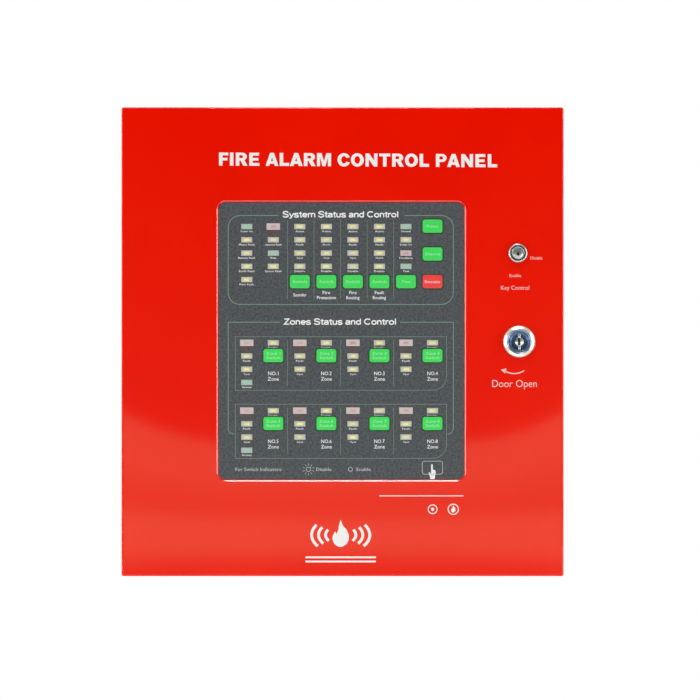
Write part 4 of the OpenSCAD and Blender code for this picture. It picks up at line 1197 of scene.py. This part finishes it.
class Board:
    """The small things on one face of a circuit board; towards is 1 when the board lies behind that face."""

    def __init__(self, y, towards):
        self.y, self.towards = y, towards
        self.tracks, self.pads, self.legs, self.small, self.print = (Shape() for _ in range(5))

    def block(self, shape, middle, half, near, far, edge):
        """A block between two heights above the board, in millimetres; middle and half are (x, z)."""
        front, back = sorted((self.y - self.towards * near * MM, self.y - self.towards * far * MM))
        (x, z), (w, h) = middle, half
        shape.block((x - w, front, z - h), (x + w, back, z + h), edge * MM)

    def via(self, x, z):
        """A tinned ring round a drilled hole."""
        radius, high = 0.55 * MM, 0.05 * MM * self.towards
        rings = [at(circle(share * radius, x, z, 12), self.y - level * high)
                 for share, level in ((1, 0), (0.95, 1), (0.5, 1), (0.45, 0))]
        self.pads.loft(rings, True)

    def bus(self, start, end, lanes, pitch, upright=True):
        """Parallel tracks with one slanted jog, from a row of pads to another; pitch in millimetres."""
        for i in range(lanes):
            shift = (i - (lanes - 1) / 2) * pitch * MM
            a, b = (p if upright else p[::-1] for p in (start, end))
            a, b = (a[0] + shift, a[1]), (b[0] + shift, b[1])
            jog = abs(b[0] - a[0]) / 2 * math.copysign(1, b[1] - a[1])
            middle = (a[1] + b[1]) / 2 + shift * math.copysign(0.4, b[0] - a[0])
            route = [a, (a[0], middle - jog), (b[0], middle + jog), b]
            if not upright:
                route = [p[::-1] for p in route]
            self.track(route, 0.45 * pitch)
            self.via(*route[0])
            self.via(*route[-1])

    def track(self, route, width):
        """One printed conductor."""
        strip = Shape()
        line(strip, route, width, 0.0)
        self.tracks.add([(x, self.y + self.towards * depth, z) for x, depth, z in strip.points], strip.faces)

    def chip_legs(self, chip, all_round=False):
        """Gull-wing legs along the long sides of a chip: shoulder, foot and the stand between them."""
        low, high = chip[0].xz, chip[1].xz
        pitch, half_width = 1.27 * MM, 0.2 * MM
        blocks = ((0.25, 0.25, 0.5, 0.75), (0.65, 0.65, 0, 0.22), (0.51, 0.09, 0, 0.75))
        for axis in (0, 1) if all_round else (0,):
            start, end = low[axis], high[axis]
            count = max(2, int((end - start - 0.6 * MM) / pitch))
            for edge, out in ((low[1 - axis], -1), (high[1 - axis], 1)):
                for i in range(count):
                    along = (start + end) / 2 + (i - (count - 1) / 2) * pitch
                    for reach, half, near, far in blocks:
                        middle, size = (along, edge + out * reach * MM), (half_width, half * MM)
                        if axis:
                            middle, size = middle[::-1], size[::-1]
                        self.block(self.legs, middle, size, near, far, 0.04)

    def resistor(self, x, z, upright=False):
        """One chip resistor with tinned ends."""
        body, end, reach = (1.0 * MM, 0.62 * MM), (0.22 * MM, 0.68 * MM), 1.05 * MM
        self.block(self.small, (x, z), body[::-1] if upright else body, 0, 0.55, 0.06)
        for offset in (-reach, reach):
            middle = (x, z + offset) if upright else (x + offset, z)
            self.block(self.pads, middle, end[::-1] if upright else end, 0, 0.55, 0.05)

    def pieces(self, body, tracks, pads, legs, small):
        """Makes the pieces of all but the print, with their names."""
        self.tracks.piece(tracks, body, "circuit_board", "mask_over_copper")
        self.pads.piece(pads, body, "zinc_steel", "tinned_pads")
        self.legs.piece(legs, body, "zinc_steel", "tinned_pads")
        self.small.piece(small, body, "black_plastic")


def make_main_board_details():
    """Tracks, pads, legs, chip resistors and printed outlines of the main board."""
    board = Board(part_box("main_board")[0].y, 1)
    relays, chips, capacitors = solids("relays"), solids("board_chips"), solids("capacitors")
    upper_chips = [b for b in chips if b[0].z > 50 * MM]
    for relay, chip in zip(across(relays), across(upper_chips)):
        x, chip_x = centre(relay).x, centre(chip).x
        board.bus((x, relay[0].z - 1.5 * MM), (chip_x, chip[1].z + 3.2 * MM), 5, 1.9)
        board.bus((x, relay[1].z + 1.5 * MM), (x - 2 * MM, 96 * MM), 4, 3.4)
        board.bus((chip_x, chip[0].z - 3 * MM), (chip_x * 0.55 - 40 * MM, 41.5 * MM), 5, 1.3)
        for row in range(3):
            for offset in (3.4 * MM, 7.2 * MM):
                board.resistor(chip[1].x + offset, chip[0].z + (0.5 + 3 * row) * MM)
    processor = max(chips, key=lambda b: b[1].x - b[0].x)
    low, high = processor
    for row in range(5):
        z = low.z + (2 + 3.6 * row) * MM
        board.bus((low.x - 3 * MM, z), (-147 * MM, z - 8 * MM), 2, 1.2, False)
        board.bus((high.x + 3 * MM, z), (16 * MM, low.z + (4 + 2.6 * row) * MM), 2, 1.1, False)
    for can in (b for b in capacitors if b[1].x - b[0].x < 10 * MM):
        x = centre(can).x
        board.bus((x, can[1].z + 2 * MM), (x - 8 * MM, -8 * MM), 3, 2.2)
        board.bus((x, can[0].z - 2 * MM), (x + 5 * MM, -54 * MM), 3, 2.2)
        for row in range(4):
            board.resistor(x + 8 * MM, (-14 - 6 * row) * MM, True)
    for chip in chips:
        board.chip_legs(chip, all_round=chip is processor)

    chip_height = 3 * MM
    for part in relays + capacitors + chips + solids("main_header") + solids("fuses"):
        if part[1].y - part[0].y >= chip_height:
            line(board.print, grown(part, 1.0 * MM, 0.6 * MM, 3), 0.25, board.y, close=True)
    upper_row = [b for b in solids("terminal_blocks") if b[0].z > 95 * MM and b[1].z < 111 * MM]
    for number, terminal in enumerate(across(upper_row), 1):
        words(board.print, str(number), centre(terminal).x, terminal[0].z - 2.6 * MM, board.y, 2.4, bold=0.0)
    board.pieces("box", "main_board_tracks", "main_board_pads", "board_chip_legs", "main_board_small_parts")
    board.print.piece("main_board_print", "box", "circuit_board", "silkscreen")


def make_keypad_details():
    """Solder points, tracks and legs on the back of the keypad board."""
    board = Board(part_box("keypad_board")[1].y, -1)
    dot = [(0.8, 0), (0.72, 0.25), (0.4, 0.55), (0.2, 0.9)]
    for part in solids("status_leds") + solids("tact_switches"):
        x, _, z = centre(part)
        for side in (-1.27 * MM, 1.27 * MM):
            board.pads.turned((x + side, z), board.y, dot, 10)
    for chip in solids("keypad_chips"):
        board.chip_legs(chip, all_round=chip[1].x - chip[0].x > 12 * MM)
        x, _, z = centre(chip)
        up = math.copysign(1, z)
        if abs(x) > 12 * MM or abs(z) > 20 * MM:
            board.bus((x, z + up * 6 * MM), (x * 1.12, z + up * 24 * MM), 4, 1.3)
    for column in COLUMNS[:7]:
        x = column + 5 * MM
        for k in range(2):
            board.bus((x + 4 * k * MM, 34 * MM), (x + (4 + 4 * k) * MM, 4 * MM), 2, 1.3)
            for z in (14, -56):
                board.resistor(x, (z + 4 * k) * MM)
    board.pieces("door", "keypad_tracks", "keypad_solder", "keypad_chip_legs", "keypad_small_parts")


def directions(path):
    """The direction of a path at each of its points."""
    return [(after - before).normalized() for before, after in zip(path[:1] + path, path[1:] + path[-1:])]


def tube(shape, path, radius, sides=12):
    """A round tube along a path."""
    up = Vector((0.13, 0.97, 0.21)).normalized()
    turn = [2 * math.pi * k / sides for k in range(sides)]
    rings = []
    for p, along in zip(path, directions(path)):
        u = along.cross(up).normalized()
        v = along.cross(u)
        rings.append([tuple(p + radius * (math.cos(a) * u + math.sin(a) * v)) for a in turn])
    shape.loft(rings).cap(rings[0], rings[-1])


LEAD_RADIUS = 1.3 * MM
LEADS = {  # colour, and the route in millimetres, which is the CAD lead's own
    "battery_link_lead": ("black", [(-16, -57, -91), (-14, -57, -84), (0, -58, -80), (14, -57, -84),
                                    (16, -57, -91)]),
    "battery_black_lead": ("black", [(-143, -57, -91), (-142, -56, -82), (-128, -52, -76), (-90, -46, -75),
                                     (-40, -40, -75), (0, -34, -74), (14, -27, -70), (17, -20, -61.5)]),
    "battery_red_lead": ("red", [(143, -57, -91), (142, -56, -83), (128, -54, -79), (90, -50, -78),
                                 (50, -42, -77), (30, -32, -74), (24, -25, -69), (23, -20, -61.5)]),
    "supply_plus_lead": ("red", [(91, -31, 82.5), (91, -31, 98), (84, -29, 116), (66, -25, 122),
                                 (51, -21, 118), (48, -19, 109.8)]),
    "supply_minus_lead": ("black", [(102, -31, 82.5), (101, -32, 104), (88, -31, 122), (66, -27, 128),
                                    (47, -22, 122), (43, -19, 109.8)]),
    "mains_live_lead": ("brown", [(130, -10, 119.5), (131, -16, 112), (134, -26, 102), (135, -31, 92),
                                  (135, -31, 82.5)]),
    "mains_neutral_lead": ("blue", [(140, -10, 119.5), (141, -16, 112), (144, -26, 102), (146, -31, 92),
                                    (146, -31, 82.5)]),
    "earth_lead": ("green", [(85, -10, 140), (88, -13, 148), (97, -17, 157), (110, -18, 160), (122, -16, 157),
                             (127, -14, 151)]),
}


def make_leads():
    """Insulated leads with a crimped sleeve at each end."""
    sleeves = Shape()
    for name, (color, points) in LEADS.items():
        path = smooth_route([Vector(p) * MM for p in points])
        shape = Shape()
        tube(shape, path, LEAD_RADIUS)
        group = "lead" if name.startswith("battery") else "supply"
        node = "battery_leads" if group == "lead" else "supply_leads"
        shape.piece(name, "box", group + "_insulation", color + "_insulation", [node], 60)
        for end, inward in ((path[0], path[1]), (path[-1], path[-2])):
            direction = (inward - end).normalized()
            tube(sleeves, [end - direction * 0.2 * MM, end + direction * 4 * MM], LEAD_RADIUS * 1.18)
    sleeves.piece("lead_sleeves", "box", "zinc_steel", "tinned_pads", sharp=60)


def make_ribbon():
    """A flat cable of twenty joined wires, along a curved route."""
    wires, thick = 20, 1.0 * MM
    low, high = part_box("ribbon_cable")
    pitch = (high.z - low.z) / wires
    half = [(low.z + (i + u) * pitch, share * thick / 2)
            for i in range(wires) for u, share in ((0.0, 0.5), (0.2, 0.92), (0.5, 1.0), (0.8, 0.92))]
    half.append((high.z, 0.5 * thick / 2))
    profile = half[:-1] + [(z, -d) for z, d in half[:0:-1]]
    route = [(-153.5, -21.8), (-153.5, -29), (-157, -39), (-162.5, -50), (-164.5, -62), (-164, -75),
             (-160, -85), (-151, -90.6), (-138, -91.4), (-123, -91.4), (-108, -91.4)]
    path = smooth_route([Vector((x, y, 0)) * MM for x, y in route], 14)
    rings = [[(p.x - along.y * d, p.y + along.x * d, z) for z, d in profile]
             for p, along in zip(path, directions(path))]
    ribbon = Shape().loft(rings).cap(rings[0], rings[-1])
    obj = ribbon.piece("flat_cable", None, "ribbon_insulation", replaces=["ribbon_cable"], sharp=70)
    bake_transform(obj)


def make_terminal_screws():
    """Slotted clamping screws in the wells of the terminals."""
    shape = Shape()
    for low, high in solids("terminal_blocks"):
        width = high.x - low.x
        pitch = next(p for p in (5.2 * MM, 10 * MM, 11 * MM) if abs(width / p - round(width / p)) < 0.02)
        wires_below = low.z < 0 or low.z > 115 * MM
        z = low.z + (6.5 if wires_below else 3.5) * MM
        radius, y = 0.33 * pitch, low.y + 1.3 * MM
        for i in range(round(width / pitch)):
            x = low.x + (i + 0.5) * pitch
            slot = outline(1.72 * radius, 0.32 * radius, 0.05 * radius, x, z, 2)
            top, rim, foot = (at(circle(share * radius, x, z, 24), y + depth * MM)
                              for share, depth in ((0.9, 0.0), (1.0, 0.15), (1.0, 1.5)))
            shape.loft([top, rim, foot]).fill([top, at(slot, y)]).cap(foot)
            bottom = at(slot, y + 0.7 * MM)
            shape.loft([at(slot, y), bottom]).cap(bottom)
    shape.piece("terminal_screws", "box", "zinc_steel")


# ---------------------------------------------------------------- the CAD pieces that stay

def darken_openings(node, skin, front_wall):
    """Shadow-black inside the vents in the front wall of a case: its faces deeper than the outer skin."""
    mesh = bpy.data.objects[node].data
    mesh.materials.append(FINISHES["keyway_shadow"])
    low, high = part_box(node)
    for face in mesh.polygons:
        c = face.center
        inside = all(low[i] + skin < c[i] < high[i] - skin for i in range(3))
        if inside and c.y < low.y + front_wall:
            face.material_index = len(mesh.materials) - 1


SOFT_EDGE = 0.25  # width of an edge's rounding in millimetres, where EDGES has no other
EDGES = {"batteries": 0.9, "status_leds": 0.05, "fuses": 0.1, "keypad_board": 0.08, "main_board": 0.08}


def dress_nodes():
    """Materials and small edge rounding for the CAD nodes that stay."""
    slots = {s["node"]: s["material_slot"] for s in frame["record"]["subparts"]}
    for name, obj in frame["nodes"].items():
        obj.data.materials.clear()
        obj.data.materials.append(FINISHES[slots[name]])
        if obj.hide_render:
            continue
        obj.modifiers.new("weld", "WELD").merge_threshold = 1e-6
        bevel = obj.modifiers.new("soft_edges", "BEVEL")
        bevel.width = EDGES.get(name, SOFT_EDGE) * MM
        bevel.segments = 2
        bevel.limit_method = "ANGLE"
        bevel.angle_limit = math.radians(40)
        obj.modifiers.new("even_normals", "WEIGHTED_NORMAL").keep_sharp = False


make_finishes()
make_camera()
make_world()
make_lights()
make_floor()
make_reflected_wall()
make_door()
make_plate()
for color in ("amber", "green", "red"):
    make_windows(color)
for key in KEYS:
    make_key(key)
make_lock()
make_key_switch()
print_plate()
for key in KEYS:
    print_key(key)
print_door()
print_lock_legends()
make_back_box()
make_leads()
make_ribbon()
make_main_board_details()
make_keypad_details()
make_terminal_screws()
dress_nodes()
darken_openings("power_supply", 0.3 * MM, 3 * MM)
